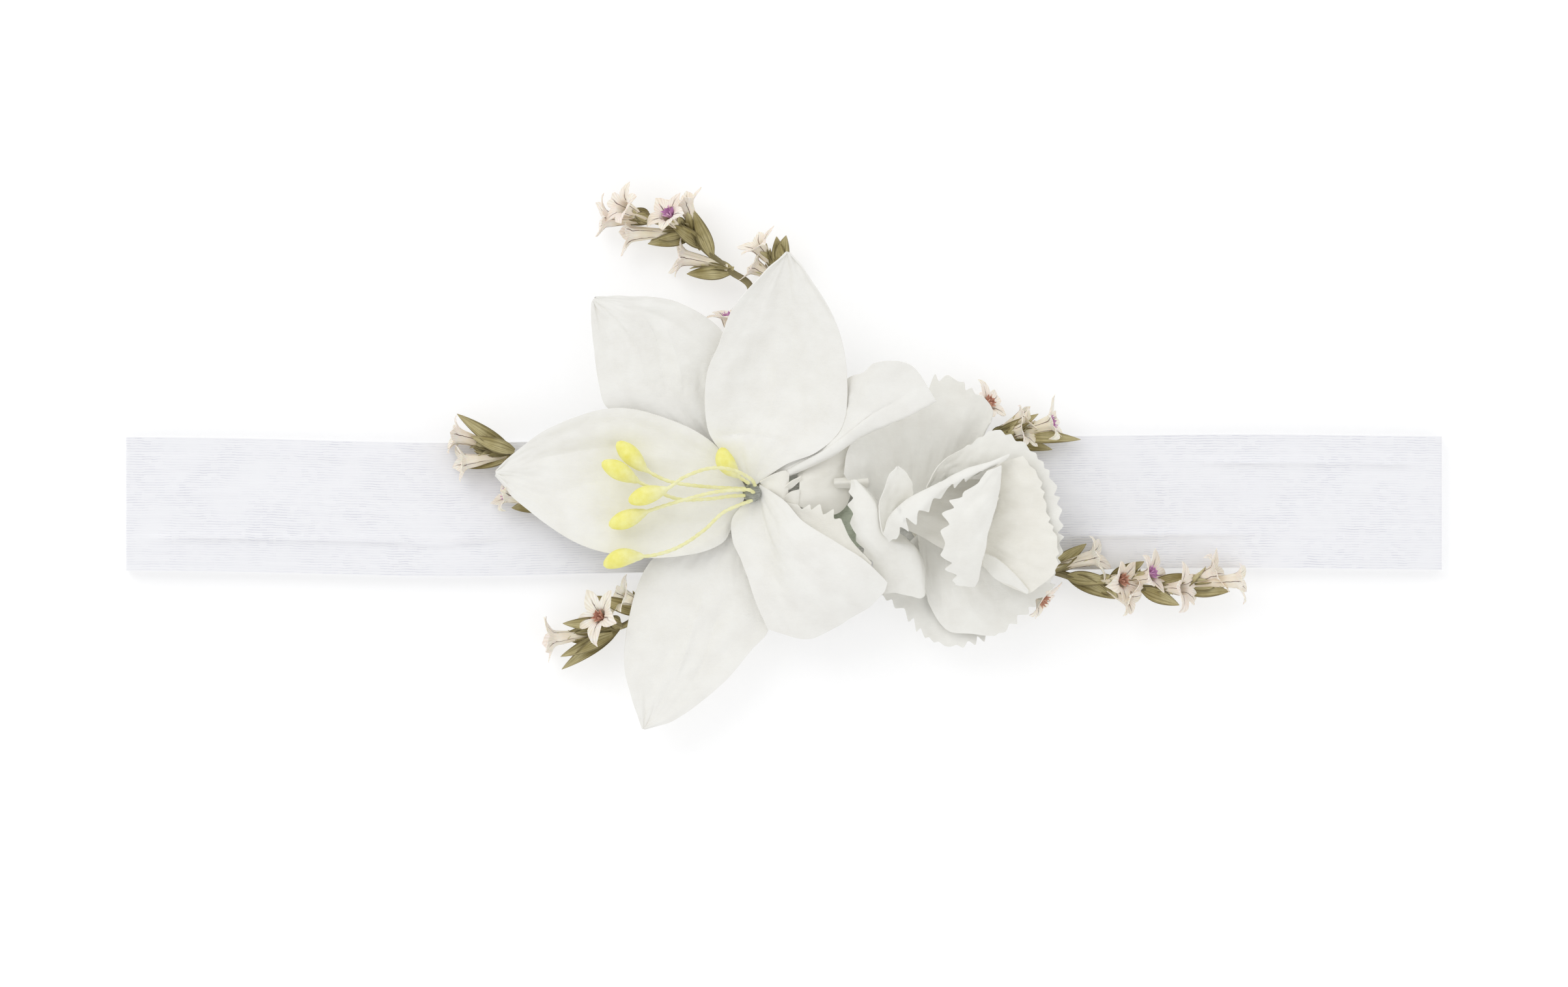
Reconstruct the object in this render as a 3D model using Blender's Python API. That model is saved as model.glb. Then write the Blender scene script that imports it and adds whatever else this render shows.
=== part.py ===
"""A tie-on flower crown: a paper lily, a paper carnation and dried statice glued to a satin ribbon.

The ribbon's front stretch runs along X. Each tie end is folded behind it as three flat leaves that
open like an accordion. The flowers sit on a felt oval on top of the ribbon, and a second felt oval
behind it carries the crown. Sizes are in metres, +Z points out of the front of the flowers, and the
origin is the centre of the rear felt's back face.
"""

import math

import bmesh
import bpy
from mathutils import Matrix, Quaternion, Vector

MM = 0.001

# Clearances
GAP = 0.3 * MM
TABLE_GAP = 0.1 * MM

# Ribbon
RIBBON_WIDTH = 25 * MM
RIBBON_THICKNESS = 0.4 * MM
FRONT_LENGTH = 246.4 * MM
FOLD_GAP = 0.5 * MM
FOLD_END = 0.5 * MM
LEAVES = 3

# Felt ovals and glue
FELT_LENGTH = 64 * MM
FELT_WIDTH = 22 * MM
FELT_BASE_THICKNESS = 1.0 * MM
FELT_BASE_SHIFT = 13 * MM
GLUE_THICKNESS = 0.9 * MM
LILY_GLUE_RADIUS = 6 * MM
CARNATION_GLUE_RADIUS = 8 * MM
OVAL_SIDES = 28

# Paper flowers
PAPER_THICKNESS = 0.5 * MM
LILY_SIZE = 1.0
LILY_CENTRE = (-6 * MM, 2 * MM)
THROAT_HEIGHT = 3.6 * MM
THROAT_RADIUS = 2.3 * MM
THROAT_FOOT_RADIUS = 1.6 * MM
BINDING_HEIGHT = 1.3 * MM
STAMEN_RADIUS = 0.4 * MM
ANTHER_RADIUS = 1.7 * MM
CARNATION_SIZE = 1.0
CARNATION_OFFSET_Y = -4 * MM
LILY_REACH = 9.5 * MM
CARNATION_REACH = 27.5 * MM
CORE_HEIGHT = 8 * MM
CORE_RADIUS = 4 * MM
CORE_FOOT_RADIUS = 3 * MM

# Wires and dried statice
WIRE_RADIUS = 0.45 * MM
STEM_RADIUS = 0.5 * MM
FLORET_NECK = 0.7 * MM
LEAF_RADIUS = 0.8 * MM

# Heights, from the table up
LEAF_PITCH = RIBBON_THICKNESS + FOLD_GAP
FRONT_BOTTOM = TABLE_GAP + LEAVES * LEAF_PITCH
FRONT_TOP = FRONT_BOTTOM + RIBBON_THICKNESS
BACKING_THICKNESS = FRONT_BOTTOM - GAP
FELT_BASE_BOTTOM = FRONT_TOP + GAP
FELT_BASE_TOP = FELT_BASE_BOTTOM + FELT_BASE_THICKNESS
GLUE_BOTTOM = FELT_BASE_TOP + GAP
FLOWER_BOTTOM = GLUE_BOTTOM + GLUE_THICKNESS + GAP
STEM_BED = FELT_BASE_TOP + GAP + STEM_RADIUS
WIRE_BED = FELT_BASE_TOP + GAP + WIRE_RADIUS

# Places along the ribbon
OUTER_FOLD = FRONT_LENGTH / 2 - FOLD_END
INNER_FOLD = FELT_LENGTH / 2 + 2 * MM
LILY_ORIGIN = Vector((*LILY_CENTRE, FLOWER_BOTTOM))
FLOWER_SPACING = LILY_REACH * LILY_SIZE + CARNATION_REACH * CARNATION_SIZE
CARNATION_ORIGIN = LILY_ORIGIN + Vector((FLOWER_SPACING, CARNATION_OFFSET_Y, 0))

COLOURS = {
    "satin": (0.87, 0.86, 0.90),
    "felt": (0.80, 0.80, 0.78),
    "glue": (0.86, 0.84, 0.76),
    "paper": (0.85, 0.85, 0.82),
    "binding": (0.42, 0.42, 0.38),
    "stamen": (0.90, 0.85, 0.32),
    "statice": (0.62, 0.55, 0.38),
    "wire": (0.78, 0.80, 0.76),
}
ROUGHNESS = {"satin": 0.4, "stamen": 0.45, "glue": 0.3}
PLAIN_ROUGHNESS = 0.85


def clear_scene():
    for old in list(bpy.data.objects):
        bpy.data.objects.remove(old, do_unlink=True)


def material(name, finish):
    """A Principled material in one of the named finishes, owned by one part."""
    made = bpy.data.materials.new(name + "_" + finish)
    made.use_nodes = True
    shader = made.node_tree.nodes["Principled BSDF"]
    shader.inputs["Base Color"].default_value = (*COLOURS[finish], 1)
    shader.inputs["Roughness"].default_value = ROUGHNESS.get(finish, PLAIN_ROUGHNESS)
    shader.inputs["Metallic"].default_value = 0
    made.diffuse_color = (*COLOURS[finish], 1)
    return made


def add_object(name, bm, finish, origin=(0, 0, 0), parent=None, smooth=True):
    """Makes a named object from a bmesh whose points are measured from origin."""
    mesh = bpy.data.meshes.new(name)
    bmesh.ops.recalc_face_normals(bm, faces=bm.faces)
    bm.to_mesh(mesh)
    bm.free()
    mesh.materials.append(material(name, finish))
    if smooth:
        mesh.shade_smooth()
    made = bpy.data.objects.new(name, mesh)
    bpy.context.scene.collection.objects.link(made)
    made.parent = parent
    made.location = origin
    return made


def add_empty(name, location):
    made = bpy.data.objects.new(name, None)
    made.location = location
    bpy.context.scene.collection.objects.link(made)
    return made


# Curves through a few chosen points


def curve_point(points, share):
    """The point at a share (0 to 1) of a smooth curve through points, spaced by the distance between them."""
    lengths = [(b - a).length for a, b in zip(points, points[1:])]
    wanted = share * sum(lengths)
    index = 0
    while index < len(lengths) - 1 and wanted > lengths[index]:
        wanted -= lengths[index]
        index += 1
    start = points[index]
    end = points[index + 1]
    span = lengths[index]
    before = points[index - 1] if index > 0 else start - (end - start)
    after = points[index + 2] if index + 2 < len(points) else end + (end - start)
    slope_in = (end - before) * (span / max((start - before).length + span, span))
    slope_out = (after - start) * (span / max((after - end).length + span, span))
    t = wanted / span
    return (
        (2 * t**3 - 3 * t**2 + 1) * start
        + (t**3 - 2 * t**2 + t) * slope_in
        + (3 * t**2 - 2 * t**3) * end
        + (t**3 - t**2) * slope_out
    )


def sized(points, size):
    """Vectors in metres from points in millimetres, enlarged by size."""
    return [Vector(point) * (MM * size) for point in points]


# Solids


def oval_slab(length, width, bottom, top, shift=0.0):
    bm = bmesh.new()
    bmesh.ops.create_cone(
        bm,
        cap_ends=True,
        segments=OVAL_SIDES,
        radius1=0.5,
        radius2=0.5,
        depth=1,
    )
    bmesh.ops.scale(bm, vec=(length, width, top - bottom), verts=bm.verts)
    bmesh.ops.translate(bm, vec=(shift, 0, (top + bottom) / 2), verts=bm.verts)
    return bm


def cone(foot_radius, top_radius, bottom, top, sides=20):
    bm = bmesh.new()
    bmesh.ops.create_cone(
        bm,
        cap_ends=True,
        segments=sides,
        radius1=foot_radius,
        radius2=top_radius,
        depth=top - bottom,
    )
    bmesh.ops.translate(bm, vec=(0, 0, (top + bottom) / 2), verts=bm.verts)
    return bm


def slab(low, high):
    """A box between two opposite corners."""
    bm = bmesh.new()
    bmesh.ops.create_cube(bm, size=1)
    bmesh.ops.scale(bm, vec=Vector(high) - Vector(low), verts=bm.verts)
    bmesh.ops.translate(bm, vec=(Vector(low) + Vector(high)) / 2, verts=bm.verts)
    return bm


def section_matrices(points, radii):
    """One matrix for each section of a tube: turned along the path with no twist, and scaled to its radius."""
    matrices = []
    turn = Quaternion()
    heading = Vector((0, 0, 1))
    for index, point in enumerate(points):
        before = points[max(index - 1, 0)]
        after = points[min(index + 1, len(points) - 1)]
        new_heading = (after - before).normalized()
        turn = heading.rotation_difference(new_heading) @ turn
        heading = new_heading
        matrices.append(Matrix.LocRotScale(point, turn, Vector.Fill(3, radii[index])))
    return matrices


def tube(points, radii, sides):
    """A closed tube along points, with its own radius at each of them."""
    bm = bmesh.new()
    matrices = section_matrices(points, radii)
    bmesh.ops.create_circle(bm, segments=sides, radius=1, matrix=matrices[0])
    edges = list(bm.edges)
    rims = list(edges)
    for old, new in zip(matrices, matrices[1:]):
        made = bmesh.ops.extrude_edge_only(bm, edges=edges)["geom"]
        verts = [item for item in made if isinstance(item, bmesh.types.BMVert)]
        edges = [item for item in made if isinstance(item, bmesh.types.BMEdge)]
        edges = [edge for edge in edges if all(vert in verts for vert in edge.verts)]
        bmesh.ops.transform(bm, matrix=new @ old.inverted(), verts=verts)
    rims += edges
    bmesh.ops.holes_fill(bm, edges=rims, sides=0)
    return bm


def smooth_tube(points, radii_at, count, sides):
    """A tube along the smooth curve through points. radii_at gives its radius at each share of the length."""
    shares = [step / count for step in range(count + 1)]
    path = [curve_point(points, share) for share in shares]
    return tube(path, [radii_at(share) for share in shares], sides)


def paper_sheet(name, rails, size, parent, along=9, across=6):
    """A paper petal: a sheet through rails, the curves that run from its base to its outer edge.

    The first and last rails are its two sides. The sheet is given its thickness on both faces alike.
    """
    curves = [sized(rail, size) for rail in rails]
    bm = bmesh.new()
    bmesh.ops.create_grid(bm, x_segments=along, y_segments=across, size=0.5)
    for vert in bm.verts:
        share_along = vert.co.x + 0.5
        share_across = vert.co.y + 0.5
        rib = [curve_point(curve, share_along) for curve in curves]
        vert.co = curve_point(rib, share_across)
    made = add_object(name, bm, "paper", parent=parent)
    wall = made.modifiers.new("thickness", "SOLIDIFY")
    wall.thickness = PAPER_THICKNESS
    wall.offset = 0
    return made


# Ribbon


def ribbon_leaf_height(leaf):
    """The middle height of a leaf: 0 is the front stretch, and 1 to LEAVES are folded behind it."""
    return FRONT_BOTTOM + RIBBON_THICKNESS / 2 - leaf * LEAF_PITCH


def build_ribbon():
    half = RIBBON_THICKNESS / 2
    side = RIBBON_WIDTH / 2
    front_end = OUTER_FOLD - FOLD_END
    front = slab(
        (-front_end, -side, ribbon_leaf_height(0) - half),
        (front_end, side, ribbon_leaf_height(0) + half),
    )
    add_object("ribbon_front", front, "satin", smooth=False)
    for label, way in (("left", -1), ("right", 1)):
        for leaf in range(1, LEAVES + 1):
            starts_outside = leaf % 2 == 1
            axis_x = OUTER_FOLD if starts_outside else INNER_FOLD
            far_x = INNER_FOLD if starts_outside else OUTER_FOLD
            axis_z = (ribbon_leaf_height(leaf - 1) + ribbon_leaf_height(leaf)) / 2
            inward = -1 if starts_outside else 1
            near = way * inward * FOLD_END
            far = way * (far_x - axis_x - inward * FOLD_END)
            height = ribbon_leaf_height(leaf) - axis_z
            low = (min(near, far), -side, height - half)
            high = (max(near, far), side, height + half)
            add_object(
                f"ribbon_{label}_tail_{leaf}",
                slab(low, high),
                "satin",
                origin=(way * axis_x, 0, axis_z),
                smooth=False,
            )


# Felt and glue


def build_felt():
    backing = oval_slab(FELT_LENGTH, FELT_WIDTH, 0, BACKING_THICKNESS)
    add_object("felt_backing", backing, "felt", smooth=False)
    base = oval_slab(FELT_LENGTH, FELT_WIDTH, FELT_BASE_BOTTOM, FELT_BASE_TOP, FELT_BASE_SHIFT)
    add_object("felt_base", base, "felt", smooth=False)
    for label, radius, origin in (
        ("glue_lily", LILY_GLUE_RADIUS, LILY_ORIGIN),
        ("glue_carnation", CARNATION_GLUE_RADIUS, CARNATION_ORIGIN),
    ):
        pad = cone(radius, 0.8 * radius, GLUE_BOTTOM, GLUE_BOTTOM + GLUE_THICKNESS)
        add_object(label, pad, "glue", origin=(origin.x, origin.y, 0), smooth=False)


# Lily. Points are in millimetres from the foot of its throat, and rails run from base to tip.

LILY_PETALS = {
    "lily_petal_left": [
        [(-2.8, -1.0, 3.3), (-3.6, -8.6, 4.4), (-11.5, -11.5, 4.8), (-22, -12, 4.8),
         (-32.8, -9.3, 4.4), (-44.1, -1.3, 3.8), (-47.9, 3.3, 3.4)],
        [(-3.0, 0.0, 3.0), (-14, 1.2, 3.2), (-29, 2.6, 3.4), (-42, 3.5, 3.4), (-47.9, 3.7, 3.3)],
        [(-2.6, 1.8, 3.3), (-6.9, 9, 4.4), (-14.5, 13.4, 4.8), (-25.5, 15.9, 5),
         (-37.4, 12.4, 4.8), (-44.4, 7.5, 4), (-47.9, 4.1, 3.4)],
    ],
    "lily_petal_upper_left": [
        [(-2.4, 2.6, 1.9), (-14, 8, 2.2), (-27, 15.9, 3.5), (-28.6, 20.3, 4),
         (-29.5, 27, 5), (-30, 32.5, 6), (-29.6, 36, 6.5)],
        [(-2.0, 3.2, 1.8), (-11, 15, 2.6), (-19, 26, 4.5), (-29.5, 36.3, 6.5)],
        [(-1.3, 3.6, 1.9), (-5, 14, 3), (-5.5, 23, 4), (-5.1, 29.5, 5.2),
         (-13.9, 35.6, 6.5), (-24.3, 36.8, 7), (-29.2, 36.5, 6.6)],
    ],
    "lily_petal_top": [
        [(-0.8, 3.4, 3.6), (-5.5, 7.5, 4.6), (-8, 11.2, 6), (-8.8, 17.3, 7.2), (-8.3, 22.8, 8),
         (-6.5, 27, 9), (-3.6, 34.3, 11), (2.5, 41.4, 13), (6.4, 44.7, 14)],
        [(0.2, 3.4, 3.4), (3.5, 12, 3.8), (4.5, 22, 5.5), (5.5, 34, 9.5), (6.8, 44.8, 14)],
        [(1.2, 3.2, 3.6), (10, 8.2, 6), (16.6, 13, 9.2), (17.6, 22.8, 10.8),
         (15.3, 32.5, 12), (9.8, 41.7, 13.5), (7.1, 44.7, 14)],
    ],
    "lily_petal_upper_right": [
        [(1.9, 3.0, 2.2), (9, 11, 2.6), (14.5, 18, 4.5), (18.2, 21.5, 7.5), (20.7, 21.9, 10.5)],
        [(2.3, 2.7, 2.3), (10.5, 7.5, 3.4), (17.2, 13.4, 6.4), (20, 18.5, 12.5), (23.3, 24.3, 16)],
        [(2.6, 2.3, 2.4), (11, 6.6, 4), (19, 11.6, 10), (25, 17.5, 16.5), (29.4, 23.7, 18)],
        [(2.8, 1.9, 2.4), (11.2, 5.5, 3.6), (20.8, 10.7, 9), (28.5, 14, 14.5), (34.2, 17.4, 17)],
        [(2.7, 2.2, 1.9), (11, 6.2, 2.8), (20, 11.9, 7.2), (28, 15.6, 12.6), (33.2, 18.4, 15.2)],
    ],
    "lily_petal_lower_right": [
        [(3.0, 0.6, 2.4), (9.5, -1.6, 5.5), (14.6, -3, 7), (19, -8.6, 8), (22, -12.9, 9),
         (24.6, -16, 9.4)],
        [(2.9, 0.2, 3.4), (9, -4.2, 7.5), (15.6, -9.1, 11), (21, -13.2, 12.5), (25.2, -16.9, 11.5)],
        [(2.6, -0.8, 3.6), (6.5, -8, 7), (11.5, -14.5, 9.5), (16.5, -19.5, 9), (20, -22, 7)],
        [(2.0, -1.9, 3.4), (2.5, -9, 5), (4.5, -16, 6), (7.5, -22, 6), (11.5, -27, 4.5)],
        [(0.6, -3.0, 2.8), (-2.6, -8, 3.0), (-0.5, -15, 4), (1.1, -21, 4.4), (3.6, -25.8, 4)],
    ],
    "lily_petal_lower_left": [
        [(-2.0, -2.4, 1.4), (-12, -8, 1.4), (-18.8, -12.6, 1.4), (-22.2, -19.9, 1.6),
         (-23.9, -31.5, 2.6), (-22.5, -38.2, 3.4), (-20.4, -44.1, 4)],
        [(-1.2, -3.1, 1.3), (-7, -16, 1.4), (-13, -30, 2.2), (-20.2, -44.1, 4)],
        [(-0.2, -3.3, 1.3), (0.8, -10, 1.3), (1.6, -17, 1.6), (3.1, -25.4, 2.2),
         (0.1, -29.1, 2.8), (-5.4, -35.5, 3.4), (-14.5, -42.5, 3.8), (-20.0, -44.1, 4)],
    ],
}

# Each stamen's thread and head, from its foot on the binding to the tip of its head.
STAMENS = {
    "stamen_1": [(-1.2, 0.8, 5.6), (-4.2, 0.9, 6.6), (-10.9, 1.4, 7.2), (-15.8, 2.3, 7),
                 (-20, 4.5, 6.9), (-22.8, 7.2, 6.9), (-25.2, 9.5, 6.9)],
    "stamen_2": [(-1.3, -0.5, 5.6), (-4, -0.6, 6.6), (-7.8, -1.1, 7.2), (-13.9, -1.1, 7.4),
                 (-20, 1.5, 8.2), (-25.5, 4.5, 9.9), (-28, 5.7, 10.2)],
    "stamen_3": [(0.6, 1.4, 5.6), (-0.2, 2.6, 8), (-3.6, 4.3, 10.5), (-7.8, 4.6, 11.6),
                 (-12.7, 2.9, 11.8), (-15.8, 0.8, 11.2), (-20, -0.5, 10.6), (-23, -1.6, 10)],
    "stamen_4": [(0.3, 0.1, 5.6), (-0.8, 0.6, 7.6), (-6.6, 0.2, 9.6), (-12.7, -1.3, 9.4),
                 (-18.8, -3.2, 8.6), (-23.7, -5, 7.8), (-26.7, -6.1, 7.2)],
    "stamen_5": [(0.0, -1.4, 5.6), (-2.2, -2.2, 7), (-5.4, -3.7, 7.8), (-9.1, -7.1, 8),
                 (-13.9, -10.2, 7.9), (-18.8, -11.7, 7.6), (-24, -12, 7.4), (-27.7, -13.6, 7.2)],
    "stamen_6": [(-0.5, 1.75, 5.6), (-2.6, 3.2, 6.5), (-4.9, 5.7, 7.0), (-5.7, 8.5, 7.3)],
}
HEAD_LENGTH = 8.2 * MM


def stamen_radius(length):
    """A function that gives the radius at each share of a stamen: a thin thread, then a drop-shaped head."""
    head_share = min(HEAD_LENGTH / length, 0.8)

    def radius_at(share):
        into_head = (share - (1 - head_share)) / head_share
        if into_head <= 0:
            return STAMEN_RADIUS
        swell = max(0.0, math.sin(math.pi * into_head**1.3)) ** 0.8
        return STAMEN_RADIUS + (ANTHER_RADIUS - STAMEN_RADIUS) * swell

    return radius_at


def path_length(points):
    return sum((b - a).length for a, b in zip(points, points[1:]))


def build_lily():
    centre = add_empty("lily_centre", LILY_ORIGIN)
    throat = cone(THROAT_FOOT_RADIUS, THROAT_RADIUS, 0, THROAT_HEIGHT)
    add_object("lily_throat", throat, "binding", parent=centre, smooth=False)
    binding_bottom = THROAT_HEIGHT + GAP
    binding = cone(THROAT_RADIUS, THROAT_RADIUS, binding_bottom, binding_bottom + BINDING_HEIGHT)
    add_object("stamen_binding", binding, "binding", parent=centre, smooth=False)
    for name, rails in LILY_PETALS.items():
        paper_sheet(name, rails, LILY_SIZE, centre)
    for name, route in STAMENS.items():
        points = sized(route, LILY_SIZE)
        lift = max(0, binding_bottom + BINDING_HEIGHT + GAP - points[0].z)
        points = [point + Vector((0, 0, lift)) for point in points]
        steps = 8 if len(points) < 6 else 14
        head = smooth_tube(points, stamen_radius(path_length(points)), steps, 7)
        add_object(name, head, "stamen", parent=centre)


# Carnation. Points are in millimetres from the foot of its core.

CARNATION_PETALS = {
    "carnation_back_petal": [
        [(-5, 3, 2.5), (-13, 7, 3.5), (-19.5, 10.5, 5.5)],
        [(-4, 4.5, 2.5), (-11, 13, 4), (-14, 21, 6.5)],
        [(-1.5, 5.2, 2.5), (-3, 16, 4.5), (-3, 26, 7.5)],
        [(0.5, 5.5, 2.5), (3, 14, 4.5), (6.5, 20.5, 7)],
        [(2.5, 4.8, 2.5), (5, 9, 3.8), (7, 14, 5.5)],
    ],
    "carnation_right_petal": [
        [(-1.5, 5.3, 5.5), (-3, 6.4, 6.5), (-3.4, 7.4, 7)],
        [(0.5, 5.4, 5.5), (3, 10, 7.5), (5, 14.4, 8.5)],
        [(3, 4.5, 5.5), (9.5, 9, 8), (15.5, 11.5, 9)],
        [(5, 2.5, 5.5), (13, 3.5, 8.5), (20, 4, 9.5)],
        [(5.5, -0.5, 5.5), (13, -3, 8.5), (20.8, -4, 9)],
        [(4.5, -3.5, 5.5), (11, -7.5, 7.5), (19, -11.5, 7.5)],
    ],
    "carnation_lower_petal": [
        [(4, -3.3, 1.5), (11, -9.5, 2.2), (19, -13.5, 3)],
        [(2, -4.9, 1.5), (7.5, -13, 2), (14, -20, 2.5)],
        [(-0.5, -5.2, 1.5), (1, -15, 1.6), (3, -24, 2)],
        [(-3, -4.2, 1.5), (-5.5, -13, 1.6), (-5, -23.5, 2)],
        [(-4.6, -2.4, 1.5), (-10, -8, 1.8), (-13, -15, 2.2)],
    ],
    "carnation_lower_lobe": [
        [(5, -3.5, 3.4), (10, -10, 4.4), (18, -14.5, 5)],
        [(2, -5, 3.4), (6, -12.5, 4.4), (12.5, -18, 4.6)],
        [(-0.5, -5.4, 3.4), (0.5, -14, 4.2), (4.5, -22, 4)],
        [(-3, -4.4, 3.4), (-4.2, -12, 4), (-2.5, -19.8, 3.8)],
        [(-4.5, -3, 3.4), (-6, -7, 3.8), (-5.1, -13.8, 4.2)],
    ],
    "carnation_left_flap": [
        [(-17.4, 6.4, 9), (-18.6, 1.5, 8.5), (-17.5, -4, 6.5), (-14.5, -9.5, 5.6), (-12.1, -13.5, 5)],
        [(-16.4, 5.8, 10.5), (-15.8, 0.5, 10.5), (-14, -5.5, 9), (-10.5, -10.5, 7.5), (-9, -13.9, 6)],
        [(-15.2, 4.7, 11.5), (-13.3, 0, 12), (-11.4, -5.2, 11), (-5.4, -8, 9), (-5.4, -15, 6.6)],
        [(-14.5, 3.5, 5.5), (-12.5, -1, 5.5), (-10, -5, 5.5), (-6.4, -7, 5.2), (-5.6, -11, 5)],
    ],
    "carnation_small_flap": [
        [(-11.2, 1.2, 9.5), (-12.4, 4.3, 12), (-10.3, 8.7, 14.5)],
        [(-10.2, 1.7, 8.5), (-9.7, 5.2, 11.5), (-10, 8.9, 14.5)],
        [(-7.8, 3.4, 8.5), (-7.4, 5.8, 11.5), (-9.6, 8.7, 14.5)],
    ],
    "carnation_rolled_flap": [
        [(5, 7.5, 9.6), (0, 6, 9.4), (-4, 3, 9.2), (-7, -0.5, 9.2), (-9, -3, 9.4)],
        [(10.6, 11.1, 13), (3, 8.6, 16), (-3.7, 4.5, 17), (-10.5, -0.5, 16), (-13.1, -3.4, 13)],
        [(9, 9.8, 14), (2, 7.2, 17.5), (-4, 3.2, 18.5), (-9.8, -1.6, 17), (-12.6, -4.2, 13)],
        [(7.5, 8.6, 14.5), (1.5, 5.4, 17), (-4.2, 1.4, 18), (-8.5, -2.6, 16), (-11.7, -4.9, 12.5)],
    ],
    "carnation_centre_flap": [
        [(1.6, 3.2, 17.5), (-1.2, -4, 19), (1.8, -12.6, 15)],
        [(5.2, 4.6, 17), (3.2, -3.5, 18), (3, -13, 14)],
        [(9, 5.7, 14), (6.8, -3.5, 15), (4.4, -13, 12)],
        [(5.6, 3.5, 11), (4.5, -2, 11), (3.5, -7, 10.5)],
    ],
    "carnation_lip": [
        [(6.4, -7.4, 10.3), (10, -9.2, 10.8), (14.1, -14, 9.5)],
        [(6.2, -10, 9.6), (9.5, -12.8, 9.4), (13.8, -14.5, 9.2)],
    ],
}


def build_carnation():
    centre = add_empty("carnation_centre", CARNATION_ORIGIN)
    core = cone(CORE_FOOT_RADIUS, CORE_RADIUS, 0, CORE_HEIGHT)
    add_object("carnation_core", core, "paper", parent=centre, smooth=False)
    for name, rails in CARNATION_PETALS.items():
        paper_sheet(name, rails, CARNATION_SIZE, centre, along=7, across=7)


# Wire stems of the two paper flowers, cut short and laid along the felt


def build_wires():
    lily_side = LILY_ORIGIN.x + LILY_GLUE_RADIUS + GAP + WIRE_RADIUS
    carnation_side = CARNATION_ORIGIN.x - CARNATION_GLUE_RADIUS - GAP - WIRE_RADIUS
    reach = 0.8 * (carnation_side - lily_side)
    apart = 4 * MM
    runs = {
        "lily_wire_stem": (lily_side, lily_side + reach, LILY_ORIGIN.y + apart / 2),
        "carnation_wire_stem": (carnation_side, carnation_side - reach, LILY_ORIGIN.y - apart),
    }
    for name, (start, end, side) in runs.items():
        bow = Vector(((start + end) / 2, side + apart / 4, WIRE_BED))
        route = [Vector((start, side, WIRE_BED)), bow, Vector((end, side, WIRE_BED))]
        wire = smooth_tube(route, lambda share: WIRE_RADIUS, 6, 8)
        add_object(name, wire, "wire")


# Dried statice. Each sprig has a stem, florets given as (foot, mouth, mouth radius) and slim leaves.
# Points are in millimetres, across from its flower's centre and up from where stems lie on the felt.

LILY_SPRIGS = {
    "statice_upper_left": {
        "stem": [(0.6, 8.4, 0), (0, 23, -0.3), (-0.3, 38.4, -0.6), (-4.1, 41.5, -0.6),
                 (-8.5, 45.2, -0.4), (-11.9, 48.3, -0.2), (-16.7, 50.4, -0.2), (-21, 51.2, -0.2)],
        "florets": [
            ((-20.5, 51.1, -0.2), (-28, 52, 0.1), 3.0),
            ((-19.5, 51, -0.1), (-25, 54.3, 3), 3.2),
            ((-14, 49.2, -0.4), (-22.4, 48.5, -0.6), 2.8),
            ((-13, 48.8, 0), (-16, 52.8, 3.4), 3.2),
            ((-12, 48.4, 0), (-13, 55, 1.6), 3.0),
            ((-5.5, 42.6, -0.6), (-13.2, 43.2, -0.8), 3.0),
        ],
        "leaves": [((-7.5, 44.3, -0.3), (-11, 53, 1)), ((-4, 41.3, -0.6), (-12.2, 41, -1.4))],
    },
    "statice_top": {
        "stem": [(3.6, 8, 0), (4.6, 28, -0.3), (5.2, 43.5, -0.3)],
        "florets": [
            ((4.8, 42, -0.3), (0.8, 47.4, 0.6), 3.0),
            ((4.8, 40, -0.3), (-0.4, 42.9, -0.4), 2.6),
        ],
        "leaves": [((5.2, 43, -0.3), (7.1, 47.6, 0.4))],
    },
    "statice_behind_top_petal": {
        "stem": [(-3.2, 8, 0), (-3.6, 20, -0.4), (-3.4, 30, -0.4)],
        "florets": [((-3.4, 29, -0.4), (-4.6, 34, 0.6), 3.4)],
        "leaves": [],
    },
    "statice_left": {
        "stem": [(-8.6, 3.4, 0), (-24, 5.6, -0.2), (-44.9, 7.2, -0.2), (-49, 7.6, 0)],
        "florets": [
            ((-47.5, 7.5, 0), (-56, 10.3, 1.6), 2.8),
            ((-46, 7.2, 0), (-55, 6.2, 1.6), 2.8),
        ],
        "leaves": [((-47, 7.6, 0), (-55.2, 14.8, 0.6)), ((-45, 7.2, 0), (-53.9, 4.7, -0.4))],
    },
    "statice_left_lower": {
        "stem": [(-8.4, -1.6, 0), (-26, -3, -0.2), (-41, -1.4, -0.2)],
        "florets": [((-40, -1.5, -0.2), (-46.8, -1.1, 1.5), 2.9)],
        "leaves": [((-36, -2, -0.2), (-39.4, -5.7, -0.4))],
    },
    "statice_lower_left": {
        "stem": [(-6.2, -6, 0), (-15, -15.5, -0.4), (-23.2, -24.4, -0.8), (-32.5, -26, -0.8)],
        "florets": [
            ((-30, -25.6, -0.8), (-39.4, -26.8, -0.6), 3.4),
            ((-26, -24.6, -0.4), (-29.4, -22.9, 3.2), 3.6),
            ((-19, -20, -0.6), (-24.6, -18.6, 1.0), 2.8),
        ],
        "leaves": [((-29, -25.6, -0.8), (-35.9, -33.1, -0.6)), ((-23, -24, -0.6), (-29.6, -19.3, 0))],
    },
}

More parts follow.
